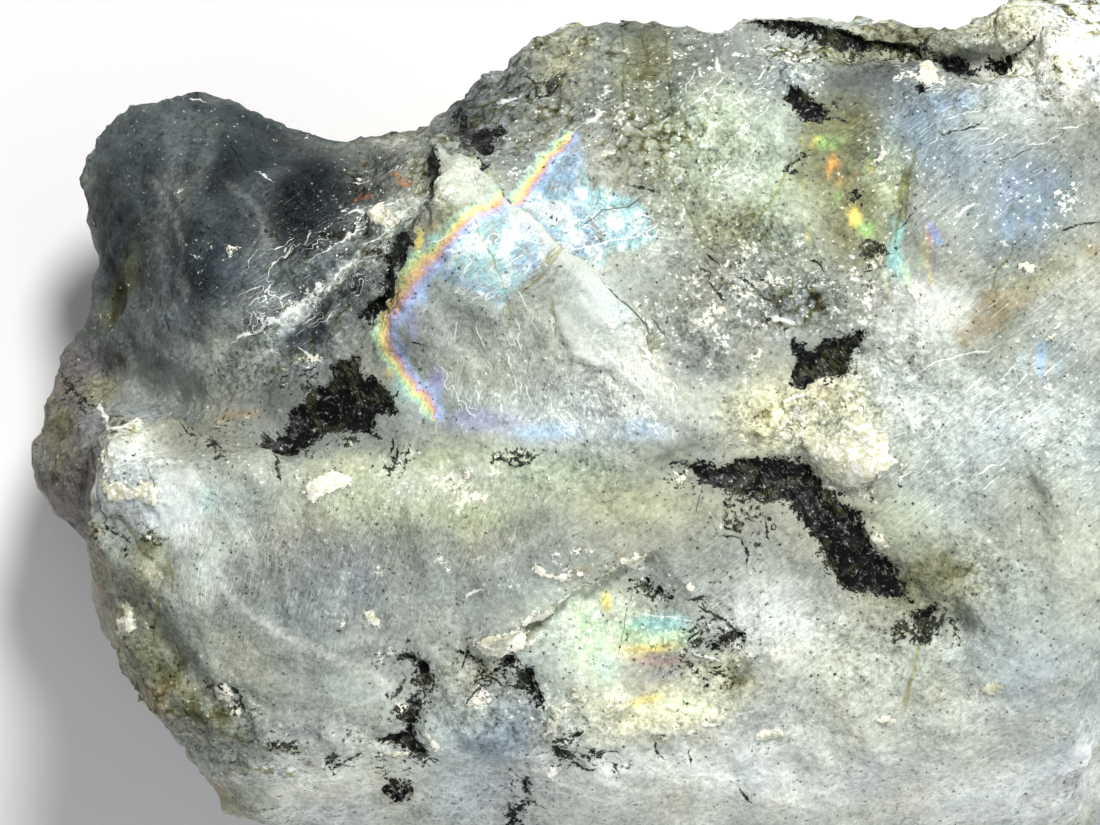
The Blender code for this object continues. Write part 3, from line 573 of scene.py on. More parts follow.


# painted highlight: where white sparkle is painted on chips and flakes; x, y, half sizes, turn, strength
PAINTED_SPARKLE = [
    (770, 280, 120, 60, 5, 0.7), (720, 70, 60, 70, 0, 0.9), (620, 120, 70, 40, 0, 0.8),
    (360, 225, 50, 34, 35, 0.9),
    (290, 312, 46, 24, 30, 1.0), (620, 405, 70, 26, 0, 1.0), (540, 380, 70, 40, 0, 0.5),
    (400, 480, 90, 34, 0, 0.6),
    (140, 490, 50, 40, 0, 0.7), (1060, 60, 70, 60, 0, 0.9), (1010, 210, 80, 50, 20, 0.7),
    (1050, 400, 60, 90, 0, 0.7),
    (620, 620, 90, 60, 0, 0.5), (600, 240, 60, 30, 10, 0.8), (800, 60, 30, 50, 0, 1.0),
    (470, 170, 40, 30, 0, 0.5),
    (180, 130, 90, 24, 0, 0.15), (580, 710, 70, 30, 0, 0.7), (880, 340, 60, 60, 0, 0.6),
    (900, 180, 60, 60, 0, 0.6), (680, 200, 60, 60, 0, 0.6), (640, 345, 40, 40, 0, 0.8),
    (520, 150, 40, 30, 0, 0.7),
    (820, 440, 60, 40, 0, 0.8), (200, 710, 70, 30, -30, 0.3), (380, 170, 60, 20, 0, 0.5),
    (950, 110, 60, 20, 0, 0.5),
    (560, 80, 60, 40, 0, 0.5), (1180, 300, 60, 100, 0, 0.7), (240, 470, 50, 30, 0, 0.4),
    (330, 740, 60, 20, 0, 0.4),
]


def drawn(places, outlines, strokes):
    """Distance in millimetres from the nearest edge of what is drawn, positive inside."""
    best = np.full(len(places), -np.inf)
    for outline in outlines:
        best = np.maximum(best, inside(places, outline))
    for half_width, line in strokes:
        best = np.maximum(best, half_width - np.abs(from_line(places, line)))
    return best / SHEET_UNITS

# ------------------------------------------------------------------ joints, cracks and weathering
# Fine joints cross the feldspar. Olive ones hold weathered mica, white ones are healed cracks full
# of crushed grains, and dark ones are open hairlines. Moss-green and rusty stains creep from them.

OLIVE_JOINTS = [
    (1.1, [(476, 222), (486, 246), (497, 270), (508, 300), (512, 320)]),
    (1.6, [(556, 256), (540, 276), (522, 294)]), (0.8, [(550, 254), (534, 272)]),
    (1.0, [(508, 316), (506, 332)]), (1.4, [(553, 304), (556, 330)]),
    (1.7, [(262, 237), (254, 262), (243, 285)]), (1.5, [(350, 270), (322, 318), (295, 360)]),
    (1.3, [(335, 290), (310, 340), (290, 380)]), (3.2, [(125, 250), (116, 290), (110, 330)]),
    (2.4, [(915, 150), (908, 180), (905, 215)]), (2.6, [(905, 170), (898, 205), (895, 240)]),
    (1.4, [(665, 20), (668, 70), (672, 130)]), (1.6, [(640, 30), (648, 60)]),
    (1.4, [(660, 160), (682, 200), (700, 240)]),
    (2.6, [(920, 650), (912, 680), (905, 705)]), (2.4, [(802, 155), (785, 170), (770, 205), (755, 225)]),
    (1.2, [(770, 205), (750, 212), (736, 222)]), (1.2, [(764, 214), (744, 232)]),
    (1.6, [(680, 110), (690, 150)]),
    (1.6, [(120, 520), (140, 545), (152, 560)]), (2.0, [(170, 560), (172, 590)]),
    (1.4, [(156, 600), (152, 640)]),
    (1.4, [(618, 14), (624, 60), (622, 100)]), (1.6, [(1010, 250), (990, 290)]),
    (1.6, [(1180, 250), (1160, 330)]),
]
WHITE_JOINTS = [
    (0.9, [(585, 247), (610, 244), (640, 236), (655, 226)]), (0.5, [(470, 252), (506, 240), (540, 248)]),
    (0.7, [(330, 250), (360, 226), (400, 196)]), (1.0, [(318, 262), (350, 232)]),
    (1.0, [(342, 268), (376, 240)]),
    (0.8, [(262, 330), (300, 300), (330, 288)]), (1.0, [(628, 372), (648, 398)]),
    (0.5, [(640, 612), (690, 620)]),
    (1.3, [(694, 655), (718, 660)]), (1.0, [(910, 380), (940, 360), (985, 350)]),
    (1.0, [(1190, 420), (1240, 380)]),
]
SPLINTERS = [
    # how many white splinters, x, y and half sizes of the patch they lie in, and how they lean, in degrees
    (44, 612, 402, 66, 30, 66), (22, 604, 226, 50, 26, 14), (40, 322, 286, 80, 40, -38),
    (26, 500, 350, 60, 60, 70),
    (30, 720, 140, 60, 70, -50), (24, 990, 110, 80, 40, -20), (26, 470, 260, 40, 40, -30),
    (24, 960, 430, 90, 60, -40),
]


def splinters():
    """Short fine strokes, each a little crushed feldspar along a cleavage."""
    chance = np.random.default_rng(29)
    strokes = []
    for count, x, y, half_width, half_height, lean in SPLINTERS:
        for _ in range(count):
            start = np.array([x, y]) + chance.uniform(-1.0, 1.0, 2) * (half_width, half_height)
            turn = math.radians(lean + chance.normal(0.0, 10.0))
            end = start + chance.uniform(4.0, 15.0) * np.array([math.cos(turn), math.sin(turn)])
            strokes.append((chance.uniform(0.4, 1.1), [tuple(start), tuple(end)]))
    return strokes


HEALED_JOINTS = [
    # half width, strength, line
    (8, 0.8, [(204, 534), (214, 562), (226, 590)]),
    (5, 0.9, [(222, 586), (240, 606), (262, 622), (290, 640)]),
    (5, 0.8, [(290, 640), (320, 652), (352, 666), (392, 684)]),
    (3, 0.7, [(286, 566), (290, 600), (298, 632)]),
    (5, 0.6, [(300, 640), (304, 662), (302, 690)]), (6, 0.5, [(236, 520), (250, 548), (256, 580)]),
    (5, 0.5, [(302, 646), (350, 640), (400, 648)]), (4, 0.4, [(208, 600), (206, 640), (216, 664)]),
    (4, 0.5, [(332, 612), (340, 590), (344, 570)]), (4, 0.5, [(228, 668), (262, 652), (290, 650)]),
    (4, 0.5, [(556, 326), (590, 355), (615, 380), (640, 400)]),
    (4, 0.4, [(488, 566), (530, 545), (560, 520)]),
    (3, 0.6, [(556, 360), (560, 400)]), (3, 0.6, [(512, 350), (518, 388)]),
    (3, 0.5, [(494, 300), (530, 388)]),
    (1.5, 0.9, [(470, 254), (510, 240), (548, 244)]), (1.5, 0.8, [(452, 268), (480, 280), (506, 276)]),
    (1.5, 0.9, [(474, 236), (490, 262), (500, 292)]), (1.5, 0.8, [(520, 232), (528, 256), (524, 276)]),
    (1.4, 0.8, [(520, 222), (506, 256), (480, 292)]), (1.4, 0.7, [(420, 300), (470, 360), (500, 420)]),
    (1.4, 0.7, [(560, 280), (520, 330), (470, 372)]), (1.4, 0.8, [(600, 170), (606, 200), (624, 240)]),
    (1.4, 0.7, [(556, 190), (600, 186), (650, 200)]),
    (3, 0.7, [(566, 200), (590, 216), (622, 212)]), (3, 0.7, [(580, 166), (576, 190), (588, 214)]),
    (6, 0.5, [(1000, 460), (1040, 430), (1070, 380)]), (7, 0.6, [(740, 600), (750, 640), (740, 670)]),
    (5, 0.4, [(820, 600), (880, 640), (960, 650)]), (5, 0.25, [(150, 180), (180, 230), (190, 300)]),
    (4, 0.25, [(228, 180), (262, 215), (268, 260)]), (6, 0.5, [(880, 400), (940, 440), (1000, 440)]),
    (5, 0.5, [(930, 330), (960, 372), (1010, 400)]), (5, 0.4, [(860, 690), (930, 720), (1000, 700)]),
    (6, 0.4, [(1180, 610), (1230, 560)]), (5, 0.4, [(420, 540), (450, 600), (440, 650)]),
]
HAIRLINES_AND_STEP_SHADOW = [
    (0.5, [(632, 590), (624, 620), (617, 655)]), (0.9, [(600, 212), (618, 206), (640, 199)]),
    (0.7, [(583, 222), (600, 214)]),
    # painted shadow: the next two long dark lines are shade along the step at the plate's edge
    (2.0, [(494, 180), (500, 187), (506, 196), (516, 204), (540, 230), (550, 242), (564, 256), (580, 262)]),
    (1.7, [(580, 262), (592, 274), (612, 300), (632, 314), (646, 330)]),
    (0.7, [(150, 470), (156, 500)]),
    (0.8, [(112, 440), (104, 480), (108, 520)]), (0.7, [(180, 260), (170, 330)]),
    (0.9, [(232, 142), (246, 170)]),
    (0.7, [(655, 320), (668, 340)]), (0.5, [(700, 486), (696, 510)]),
    (0.6, [(730, 500), (722, 520)]), (0.6, [(1000, 160), (1040, 150)]), (0.6, [(1150, 460), (1200, 500)]),
]
MOSS_STAINS = [
    # x, y, half sizes, turn, strength
    (118, 520, 22, 12, 20, 0.6), (148, 545, 18, 20, -30, 0.7), (168, 582, 12, 22, 0, 0.6),
    (155, 625, 10, 30, 5, 0.6),
    (168, 668, 18, 28, -20, 0.75), (196, 708, 34, 16, -38, 1.0), (240, 734, 36, 14, -30, 0.8),
    (300, 762, 60, 12, -12, 0.5), (940, 572, 60, 26, 12, 0.75), (900, 548, 40, 20, 0, 0.5),
    (1010, 570, 40, 30, 0, 0.2),
    (646, 60, 14, 34, 0, 0.8), (672, 125, 12, 26, 0, 0.7), (600, 30, 60, 14, 4, 0.4),
    (748, 222, 22, 20, 30, 0.7),
    (800, 180, 14, 30, 20, 0.6), (880, 120, 26, 20, 0, 0.5), (500, 450, 60, 16, 0, 0.3),
    (740, 678, 24, 16, 20, 0.9),
    (700, 640, 30, 20, 0, 0.4), (655, 746, 30, 10, 0, 0.7), (545, 622, 34, 8, 32, 0.7),
    (118, 290, 12, 44, -14, 0.8),
    (262, 300, 12, 60, -20, 0.4), (400, 430, 30, 14, 0, 0.5), (56, 420, 16, 34, 0, 0.6),
    (900, 470, 22, 26, 0, 0.5),
    (590, 460, 60, 18, 0, 0.4), (690, 430, 40, 22, 0, 0.4), (480, 640, 60, 14, 10, 0.4),
    (870, 210, 26, 50, 0, 0.5),
    (1260, 470, 40, 60, 0, 0.8), (1170, 690, 60, 40, 0, 0.6), (905, 640, 26, 20, 0, 0.6),
    (935, 690, 20, 30, 20, 0.5),
]
RUST_STAINS = [
    (268, 138, 12, 5, 0, 0.9), (246, 300, 8, 6, 0, 1.0), (271, 278, 7, 5, 0, 0.8), (358, 203, 22, 9, 10, 1.0),
    (398, 176, 22, 9, 15, 1.0), (382, 182, 34, 12, 10, 0.7), (366, 155, 8, 4, 0, 0.9),
    (577, 46, 7, 5, 0, 1.0),
    (556, 88, 5, 4, 0, 0.9), (530, 75, 6, 3, 30, 0.8), (60, 357, 8, 5, 0, 1.0), (80, 396, 14, 6, 30, 0.8),
    (508, 662, 8, 8, 0, 0.9), (650, 590, 18, 6, -15, 0.5), (63, 495, 10, 8, 0, 0.4), (836, 168, 8, 8, 0, 0.7),
    (478, 655, 12, 4, 0, 0.6), (612, 585, 14, 4, 30, 0.7), (440, 152, 6, 8, 0, 0.6),
    (1215, 440, 10, 8, 0, 0.7),
]
TAN_STAINS = [
    (990, 312, 36, 24, 30, 1.0), (975, 340, 16, 30, 10, 0.9), (1030, 290, 30, 14, 30, 0.6),
    (100, 560, 14, 60, 4, 0.9),
    (112, 640, 14, 60, -12, 0.9), (150, 715, 16, 60, -42, 0.8), (220, 790, 16, 50, -30, 0.7),
    (70, 420, 24, 40, 0, 0.5),
    (560, 250, 26, 4, -42, 0.5), (600, 292, 30, 4, -46, 0.5), (505, 196, 26, 6, -42, 0.8),
    (620, 345, 30, 16, -40, 0.35),
    (455, 215, 40, 8, 25, 0.6), (770, 420, 50, 30, 10, 0.5), (825, 408, 20, 18, 0, 0.9),
    (590, 572, 60, 8, 30, 0.7),
    (580, 330, 14, 30, -20, 0.6), (430, 230, 14, 10, 0, 0.6), (790, 50, 24, 30, 0, 0.4),
    (850, 60, 40, 10, -14, 0.4),
    (1090, 250, 20, 14, 0, 0.5), (240, 420, 40, 10, 10, 0.5), (300, 430, 30, 10, 0, 0.5),
]


def stained(places, patches):
    return 1.0 - np.prod([1.0 - soft_patch(places, patch[:5]) * patch[5] for patch in patches], axis=0)


# ------------------------------------------------------------------ the play of colour
# Labradorite splits light between thin layers inside it, which shows only at some angles; here
# that light is painted into the colour as a fixed painted sheen. On the cleavage plate the colour
# runs along one bent line, from pale green through gold and rose to violet, with a sky-blue sheet
# behind it, and smaller spots show green, gold and teal where other layers lie at that angle.

FIRE_LINES = [
    # upwards, so that the blue sheet is on the right
    [(517, 197), (527, 185), (537, 170), (546, 151), (565, 133)],
    [(430, 410), (427, 399), (414, 390), (400, 372), (388, 356), (382, 338), (388, 318), (402, 294),
     (418, 274), (426, 261), (446, 244), (456, 229), (469, 215), (483, 207), (499, 199)],
]
BLUE_SHEEN_SHEETS = [
    [(565, 138), (580, 160), (600, 183), (640, 196), (660, 215), (661, 240), (640, 252), (612, 258),
     (602, 274), (586, 266), (560, 248), (540, 226), (520, 198), (536, 180), (550, 158)],
    [(492, 206), (512, 210), (530, 232), (552, 252), (540, 270), (524, 286), (510, 300), (500, 312),
     (486, 300), (470, 290), (448, 284), (428, 268), (446, 248), (460, 230), (474, 214)],
]
MINT_LIGHT = (0.82, 0.93, 0.78)
TEAL_LIGHT = (0.62, 0.82, 0.80)
LEAF_LIGHT = (0.62, 0.80, 0.48)
GOLD_LIGHT = (0.95, 0.88, 0.45)
AMBER_LIGHT = (0.93, 0.68, 0.38)
ROSE_LIGHT = (0.84, 0.66, 0.66)
VIOLET_LIGHT = (0.62, 0.62, 0.82)
SKY_LIGHT = (0.66, 0.82, 0.98)
GLINTS = [
    # x, y, half sizes, turn, light, strength; first the spot low in the middle
    (655, 624, 40, 12, 2, TEAL_LIGHT, 0.8), (630, 630, 18, 14, 0, LEAF_LIGHT, 0.5),
    (662, 638, 42, 8, 4, MINT_LIGHT, 0.9),
    (648, 648, 40, 6, 3, GOLD_LIGHT, 0.65), (640, 657, 30, 4, 6, AMBER_LIGHT, 0.4),
    (664, 662, 34, 5, 0, ROSE_LIGHT, 0.5),
    (664, 676, 30, 8, 0, VIOLET_LIGHT, 0.3),
    (584, 622, 12, 22, 20, LEAF_LIGHT, 0.4), (606, 602, 6, 12, 10, GOLD_LIGHT, 0.7),
    (592, 640, 22, 34, 0, MINT_LIGHT, 0.7),
    (604, 668, 16, 20, 0, TEAL_LIGHT, 0.4), (646, 700, 20, 5, 10, GOLD_LIGHT, 0.6),
    (684, 706, 30, 8, 0, MINT_LIGHT, 0.5),
    (560, 740, 20, 8, 0, MINT_LIGHT, 0.4),
    # the spots that run down the far end
    (813, 134, 10, 16, -25, GOLD_LIGHT, 0.8), (824, 140, 12, 14, 0, LEAF_LIGHT, 0.6),
    (840, 138, 18, 12, 0, LEAF_LIGHT, 0.35),
    (834, 168, 10, 16, 10, AMBER_LIGHT, 0.6), (868, 160, 9, 12, 0, LEAF_LIGHT, 0.7),
    (870, 168, 5, 6, 0, GOLD_LIGHT, 0.9),
    (803, 190, 6, 10, 0, GOLD_LIGHT, 0.5), (810, 238, 6, 12, 0, GOLD_LIGHT, 0.4),
    (852, 214, 9, 12, 10, GOLD_LIGHT, 0.8),
    (866, 226, 10, 12, 10, LEAF_LIGHT, 0.6), (838, 200, 10, 14, 0, LEAF_LIGHT, 0.3),
    (848, 176, 14, 12, 0, AMBER_LIGHT, 0.35),
    (884, 290, 8, 20, 10, AMBER_LIGHT, 0.3), (898, 250, 13, 34, 8, TEAL_LIGHT, 0.85),
    (912, 268, 12, 22, 6, MINT_LIGHT, 0.7),
    (926, 262, 6, 26, 14, GOLD_LIGHT, 0.6), (932, 248, 4, 22, 20, ROSE_LIGHT, 0.6),
    (938, 240, 4, 24, 26, VIOLET_LIGHT, 0.8),
    (946, 252, 3, 22, 30, SKY_LIGHT, 0.9), (882, 280, 10, 16, 0, MINT_LIGHT, 0.4),
    (958, 106, 50, 20, 14, SKY_LIGHT, 0.25), (1020, 190, 60, 26, 30, VIOLET_LIGHT, 0.25),
    (1004, 230, 40, 20, 30, SKY_LIGHT, 0.3),
    # faint sheens elsewhere
    (480, 420, 50, 16, 0, VIOLET_LIGHT, 0.5), (545, 432, 46, 12, 0, SKY_LIGHT, 0.5),
    (640, 430, 40, 16, 0, SKY_LIGHT, 0.4),
    (600, 300, 60, 16, -42, SKY_LIGHT, 0.3), (436, 384, 14, 18, 0, VIOLET_LIGHT, 0.6),
    (412, 322, 8, 26, 10, VIOLET_LIGHT, 0.5),
    (420, 290, 10, 18, 20, SKY_LIGHT, 0.5), (400, 352, 8, 14, 0, VIOLET_LIGHT, 0.6),
    (402, 388, 16, 16, 0, TEAL_LIGHT, 0.5),
    (388, 372, 7, 9, 0, GOLD_LIGHT, 0.5), (424, 245, 3, 14, 2, GOLD_LIGHT, 0.8),
    (436, 240, 8, 8, 0, TEAL_LIGHT, 0.7),
    (575, 163, 10, 24, -10, SKY_LIGHT, 0.5), (350, 500, 60, 20, 0, MINT_LIGHT, 0.2),
    (205, 500, 20, 20, 0, TEAL_LIGHT, 0.4),
    (860, 800, 60, 14, 8, VIOLET_LIGHT, 0.2), (960, 800, 50, 14, 8, SKY_LIGHT, 0.2),
    (350, 806, 70, 16, 0, VIOLET_LIGHT, 0.2),
    (500, 790, 40, 20, 0, SKY_LIGHT, 0.2), (1040, 360, 30, 24, 0, SKY_LIGHT, 0.4),
    (1190, 560, 60, 30, 30, SKY_LIGHT, 0.5),
    (1240, 300, 30, 40, 10, VIOLET_LIGHT, 0.5), (1150, 440, 40, 20, 0, MINT_LIGHT, 0.4),
]

# ------------------------------------------------------------------ scales, steps and grains of the break
# Across its cleavages the stone breaks into grains and small scoops, along them into smooth
# sheets with fine steps. The ledges of the lump get their crisp edges back here, the ore sinks
# and the crust rises, and every height is worked into the mesh.

GRAINY = [
    # x, y, half sizes, turn, strength
    (190, 200, 130, 110, 0, 0.45), (300, 200, 50, 60, 0, 0.5),
    (590, 80, 130, 70, 0, 0.8), (500, 140, 50, 40, 0, 0.5), (740, 150, 90, 70, 0, 0.7),
    (740, 250, 90, 50, 0, 0.9),
    (790, 300, 100, 34, 10, 1.0), (640, 200, 60, 60, 0, 0.4), (800, 60, 40, 40, 0, 1.0),
    (860, 170, 50, 90, 0, 0.5),
    (900, 380, 80, 60, 0, 0.4), (790, 420, 80, 40, 0, 0.8), (350, 250, 80, 60, 35, 0.9),
    (300, 330, 90, 50, 35, 1.0),
    (130, 480, 50, 40, 0, 0.5), (150, 640, 40, 100, 0, 0.5), (220, 720, 80, 40, -35, 0.7),
    (330, 740, 90, 30, 0, 0.3),
    (480, 680, 60, 50, 0, 0.6), (580, 720, 90, 40, 0, 0.7), (700, 660, 60, 70, 0, 0.6),
    (600, 630, 70, 50, 0, 0.4),
    (460, 190, 50, 36, -40, 0.7), (620, 360, 50, 40, -40, 0.6), (1060, 50, 100, 80, 0, 0.75),
    (910, 40, 120, 22, 8, 1.0), (960, 580, 90, 50, 0, 0.5),
    (880, 650, 90, 60, 0, 0.4), (700, 330, 50, 50, 0, 0.6), (80, 450, 50, 110, 0, 0.3),
    (540, 470, 120, 30, 0, 0.3),
    (400, 190, 60, 40, 0, 0.7), (1180, 400, 80, 120, 0, 0.5), (940, 90, 60, 30, 0, 0.6),
]
STEEP_FIBRES = [
    (300, 560, 200, 120, 0, 1.0), (480, 350, 90, 70, 0, 0.9), (590, 400, 90, 40, 0, 1.0),
    (560, 220, 60, 60, 0, 0.7),
    (470, 540, 90, 60, 0, 0.7), (720, 100, 60, 90, 0, 0.5), (180, 220, 120, 120, 0, 0.4),
    (640, 800, 300, 40, 0, 0.4),
]
SLANTING_FIBRES = [
    (960, 440, 150, 90, 0, 1.0), (960, 150, 120, 90, 0, 0.9), (320, 280, 110, 80, 30, 1.0),
    (500, 262, 50, 40, 0, 0.8), (620, 230, 60, 40, 0, 0.7),
    (760, 590, 100, 70, 0, 0.6), (900, 700, 160, 80, 0, 0.5), (1020, 270, 90, 80, 0, 0.7),
    (1180, 400, 120, 260, 0, 0.8),
    (640, 540, 90, 50, 0, 0.3),
]
SHARP_LEDGES = [
    # rise in millimetres of the right-hand side as drawn, how far it reaches, line
    (1.0, 3.0, [(486, 170), (500, 187), (515, 205), (541, 233), (560, 254), (584, 266), (600, 283),
                (620, 303), (644, 322)]),
    (0.9, 2.5, [(94, 560), (103, 505), (107, 470), (112, 437)]),
    (0.6, 2.0, [(112, 437), (150, 426), (178, 424), (212, 434), (244, 448)]),
    (0.5, 2.0, [(240, 340), (258, 332), (290, 304), (322, 288)]),
    (0.6, 2.5, [(650, 557), (604, 575), (560, 602), (524, 626), (480, 648)]),
    (0.6, 2.0, [(370, 332), (390, 302), (412, 262), (430, 222), (440, 190), (436, 152)]),
    (0.3, 1.5, [(661, 226), (640, 240), (604, 247), (580, 238)]),
    (0.5, 2.5, [(1100, 100), (1042, 94), (1036, 62), (1000, 46), (985, 8)]),
    (0.4, 2.0, [(700, 586), (735, 606), (752, 640), (748, 680)]),
    (0.4, 2.0, [(856, 500), (884, 486), (894, 460), (888, 436), (872, 424)]),
    (0.5, 2.0, [(1000, 250), (960, 300), (950, 350)]),
    (0.4, 2.0, [(780, 260), (840, 280), (880, 320)]),
    (0.4, 2.0, [(160, 640), (185, 690), (215, 718), (262, 742)]),
    (0.3, 1.5, [(330, 290), (362, 250), (404, 216)]),
    (0.6, 2.5, [(1240, 240), (1180, 320), (1170, 430), (1210, 520)]),
]
RAISED_SHEETS = [
    [(496, 192), (506, 198), (520, 212), (541, 235), (558, 254), (580, 266), (594, 281), (612, 305),
     (606, 316), (590, 302), (574, 282), (548, 258), (528, 234), (510, 214)],
    [(434, 150), (446, 150), (460, 158), (476, 172), (492, 188), (498, 198), (484, 204), (470, 200),
     (458, 206), (448, 198), (442, 184)],
    [(563, 334), (551, 306), (581, 296), (607, 318), (613, 334), (637, 334), (647, 352), (665, 374),
     (653, 388), (653, 400), (639, 394), (611, 372), (571, 356)],
    [(150, 474), (190, 470), (206, 492), (196, 520), (164, 524), (150, 504)],
]
BROKEN_OFF = [
    # x, y, half sizes, turn, depth in millimetres
    (626, 10, 20, 16, 0, 1.0), (192, 88, 26, 12, 0, 0.8), (132, 106, 34, 16, 20, -0.8),
]
SHEET_RISE = 0.35
JOINT_DEPTH = 0.14
WHITE_RISE = 0.06
THIN = 2.7  # half widths up to this, in sheet units, are drawn as fine lines
OUT_OF_SIGHT = 3.0  # how far inwards what is drawn draws back on the steep sides, in millimetres
DRAWN_WIDTH = (1095.0, 1125.0)  # along the sheet, between these, what is drawn gives way to noise
DRAWN_HEIGHT = (822.0, 850.0)  # and the same down the sheet
UNDERSIDE = (0.3, 1.2)  # the breaks set in between these heights, so that it stays level to rest on


def fine_lines(places, lines):
    """For lines too thin for the mesh: how far each point lies aside of the nearest one, in half
    widths, how near that line is, from 0 to 1, and how deep its groove would be there."""
    nearest = np.full(len(places), np.inf)
    aside = np.zeros(len(places))
    for half_width, line in lines:
        apart = from_line(places, line)
        closer = np.abs(apart) < nearest
        nearest = np.where(closer, np.abs(apart), nearest)
        aside = np.where(closer, apart / half_width, aside)
    return aside, ramp(nearest, 10.0, 5.0) * (1.0 - steep), ramp(nearest, 4.0, 0.0) * (1.0 - steep)


def grown(outlines, strokes, size, seed, scarcity):
    """Distance in millimetres inside a mineral: where it is drawn, and where noise puts it elsewhere."""
    broad = [stroke for stroke in strokes if stroke[0] > THIN]
    on_face = drawn(ragged, outlines, broad) - OUT_OF_SIGHT * steep
    elsewhere = 4.0 * (rough(points, size, 4, seed) - scarcity) - 2.5 * (1.0 - wild)
    return np.maximum(on_face, elsewhere)


points = points_of(body) / MM
normals = points_of(body, "normal")
places = on_sheet(points)
near = wandering(points, places, 3.0, 1.6, 3)
ragged = wandering(points, near, 6.0, 3.0, 8)
lump = BVHTree.FromPolygons(points.tolist(), [corner.vertices[:] for corner in body.polygons])
hidden = [
    lump.ray_cast(Vector(start), Vector(EYE - start))[0] is not None for start in points + 0.5 * normals
]
steep = np.maximum(1.0 - ramp(normals[:, 2], -0.15, 0.15), hidden)
beyond = ramp(places[:, 0], *DRAWN_WIDTH) + ramp(places[:, 1], *DRAWN_HEIGHT)
wild = np.clip(steep + beyond, 0.0, 1.0)
big, _ = scales(points, 4.2, 5, hollow=0.5)
middling, shard = scales(points, 1.9, 6)
small, own = scales(points, 1.05, 7, hollow=0.5)
splintered = 0.22 * shard + 0.12 * own

dark = grown(DARK_OUTLINES, DARK_STROKES, size=6.0, seed=73, scarcity=0.76) + splintered
cream = grown(CREAM_OUTLINES, CREAM_AND_LIT_LEDGE_STROKES, size=7.0, seed=83, scarcity=0.92) + 0.6 * splintered
sheets = drawn(near, RAISED_SHEETS, []) - OUT_OF_SIGHT * steep
dark_threads = [stroke for stroke in DARK_STROKES if stroke[0] <= THIN]
white_and_lit_threads = [stroke for stroke in CREAM_AND_LIT_LEDGE_STROKES if stroke[0] <= THIN]
olive_aside, olive_reach, olive_groove = fine_lines(near, OLIVE_JOINTS)
white_and_lit_aside, white_and_lit_reach, white_groove = fine_lines(near, WHITE_JOINTS + white_and_lit_threads + splinters())
hair_and_shadow_aside, hair_and_shadow_reach, hair_groove = fine_lines(near, HAIRLINES_AND_STEP_SHADOW)
ore_aside, ore_reach, ore_groove = fine_lines(ragged, dark_threads)
slope = ramp(normals[:, 2], 0.75, 0.35)
grit = stained(places, GRAINY) + 0.7 * np.maximum(wild, 0.7 * slope) + 0.25 * rough(points, 8.0, 2, 12)
grit = np.clip(grit, 0.05, 1.0)
steep_fibre = stained(places, STEEP_FIBRES) * (1.0 - 0.8 * grit)
slant_fibre = stained(places, SLANTING_FIBRES) * (1.0 - 0.35 * grit)

height = (0.16 + 0.22 * grit) * big + (0.10 + 0.26 * grit) * middling + 0.34 * grit * small
height += 0.04 * rough(points, 1.3, 2, 9) * (0.4 + grit)
broad_steps = (0.5 + 0.5 * grit) * terraces(points, 7.0, 111)
fine_steps = (0.25 + 0.35 * grit) * terraces(points, 3.0, 113, 3.0)
height += broad_steps + fine_steps
height += wild * (0.30 * big + 0.7 * terraces(points, 12.0, 117, 3.0))
for rise, reach, line in SHARP_LEDGES:
    apart = from_line(near, line) / SHEET_UNITS
    height += 0.5 * rise * np.sign(apart) * np.exp(-((np.abs(apart) / reach) ** 1.3)) * (1.0 - steep)
height -= DARK_SINK * ramp(dark, -0.1, 0.4) * (1.0 + 0.8 * own)
height += CREAM_RISE * ramp(cream, -0.1, 0.3) * (1.0 + 0.5 * own)
height += SHEET_RISE * ramp(sheets, -0.1, 0.2)
height -= JOINT_DEPTH * np.max([olive_groove, hair_groove, ore_groove], axis=0)
height += WHITE_RISE * white_groove
height -= height.mean()
for *patch, depth in BROKEN_OFF:
    height -= depth * soft_patch(places, patch)
lowest = 1.0 - ramp(points[:, 2], *UNDERSIDE)
moved = points + normals * (height * (1.0 - lowest))[:, None]
moved = np.clip(moved, np.array(cad_box[0]) / MM, np.array(cad_box[1]) / MM)
body.vertices.foreach_set("co", (moved * MM).ravel())
body.update()

# ------------------------------------------------------------------ what the finish reads from the mesh
# Every point of the mesh carries the tint, the ore, the crust, the joints, the stains and the
# play of colour at its place, so that the finish follows the stone and not the eye.


def keep(name, values):
    """Give each point of the body four values of that name, which the finish reads as a colour."""
    layer = body.attributes.new(name, "FLOAT_COLOR", "POINT")
    layer.data.foreach_set("color", np.stack(values, axis=1).astype(np.float32).ravel())


DARK_LOBE = (-40.0, 26.0, 34.0)  # the middle of the clear slate-dark feldspar, in millimetres
LOBE_EDGE = (34.0, 16.0)  # how far from there it begins, and how far it is full


def tinted_wild(points):
    """The tint of the sides, which are broken through the same feldspar."""
    swell = rough(points, 22.0, 3, 41)
    cloud = rough(points, 13.0, 3, 47)
    colour = np.tile(linear(SAGE), (len(points), 1))
    colour = washed(colour, SILVER, np.clip(swell * 1.4, 0.0, 1.0))
    colour = washed(colour, PEWTER, np.clip(-swell * 1.5, 0.0, 0.8))
    colour = washed(colour, STRAW, np.clip(cloud * 1.6 - 0.3, 0.0, 0.5))
    colour = washed(colour, STEEL, np.clip(-cloud * 1.5 - 0.4, 0.0, 0.35))
    lobe = ramp(np.linalg.norm(points - DARK_LOBE, axis=1) - 5.0 * swell, *LOBE_EDGE)
    return washed(colour, SLATE, 0.8 * lobe)


def strewn(patches, size, octaves, seed, gain, level, most=0.8):
    """How much of a stain or dust there is: where it is drawn, and in patches of noise elsewhere."""
    elsewhere = np.clip(gain * rough(points, size, octaves, seed) - level, 0.0, most) * wild
    return np.maximum(stained(loose, patches) * (1.0 - steep), elsewhere)


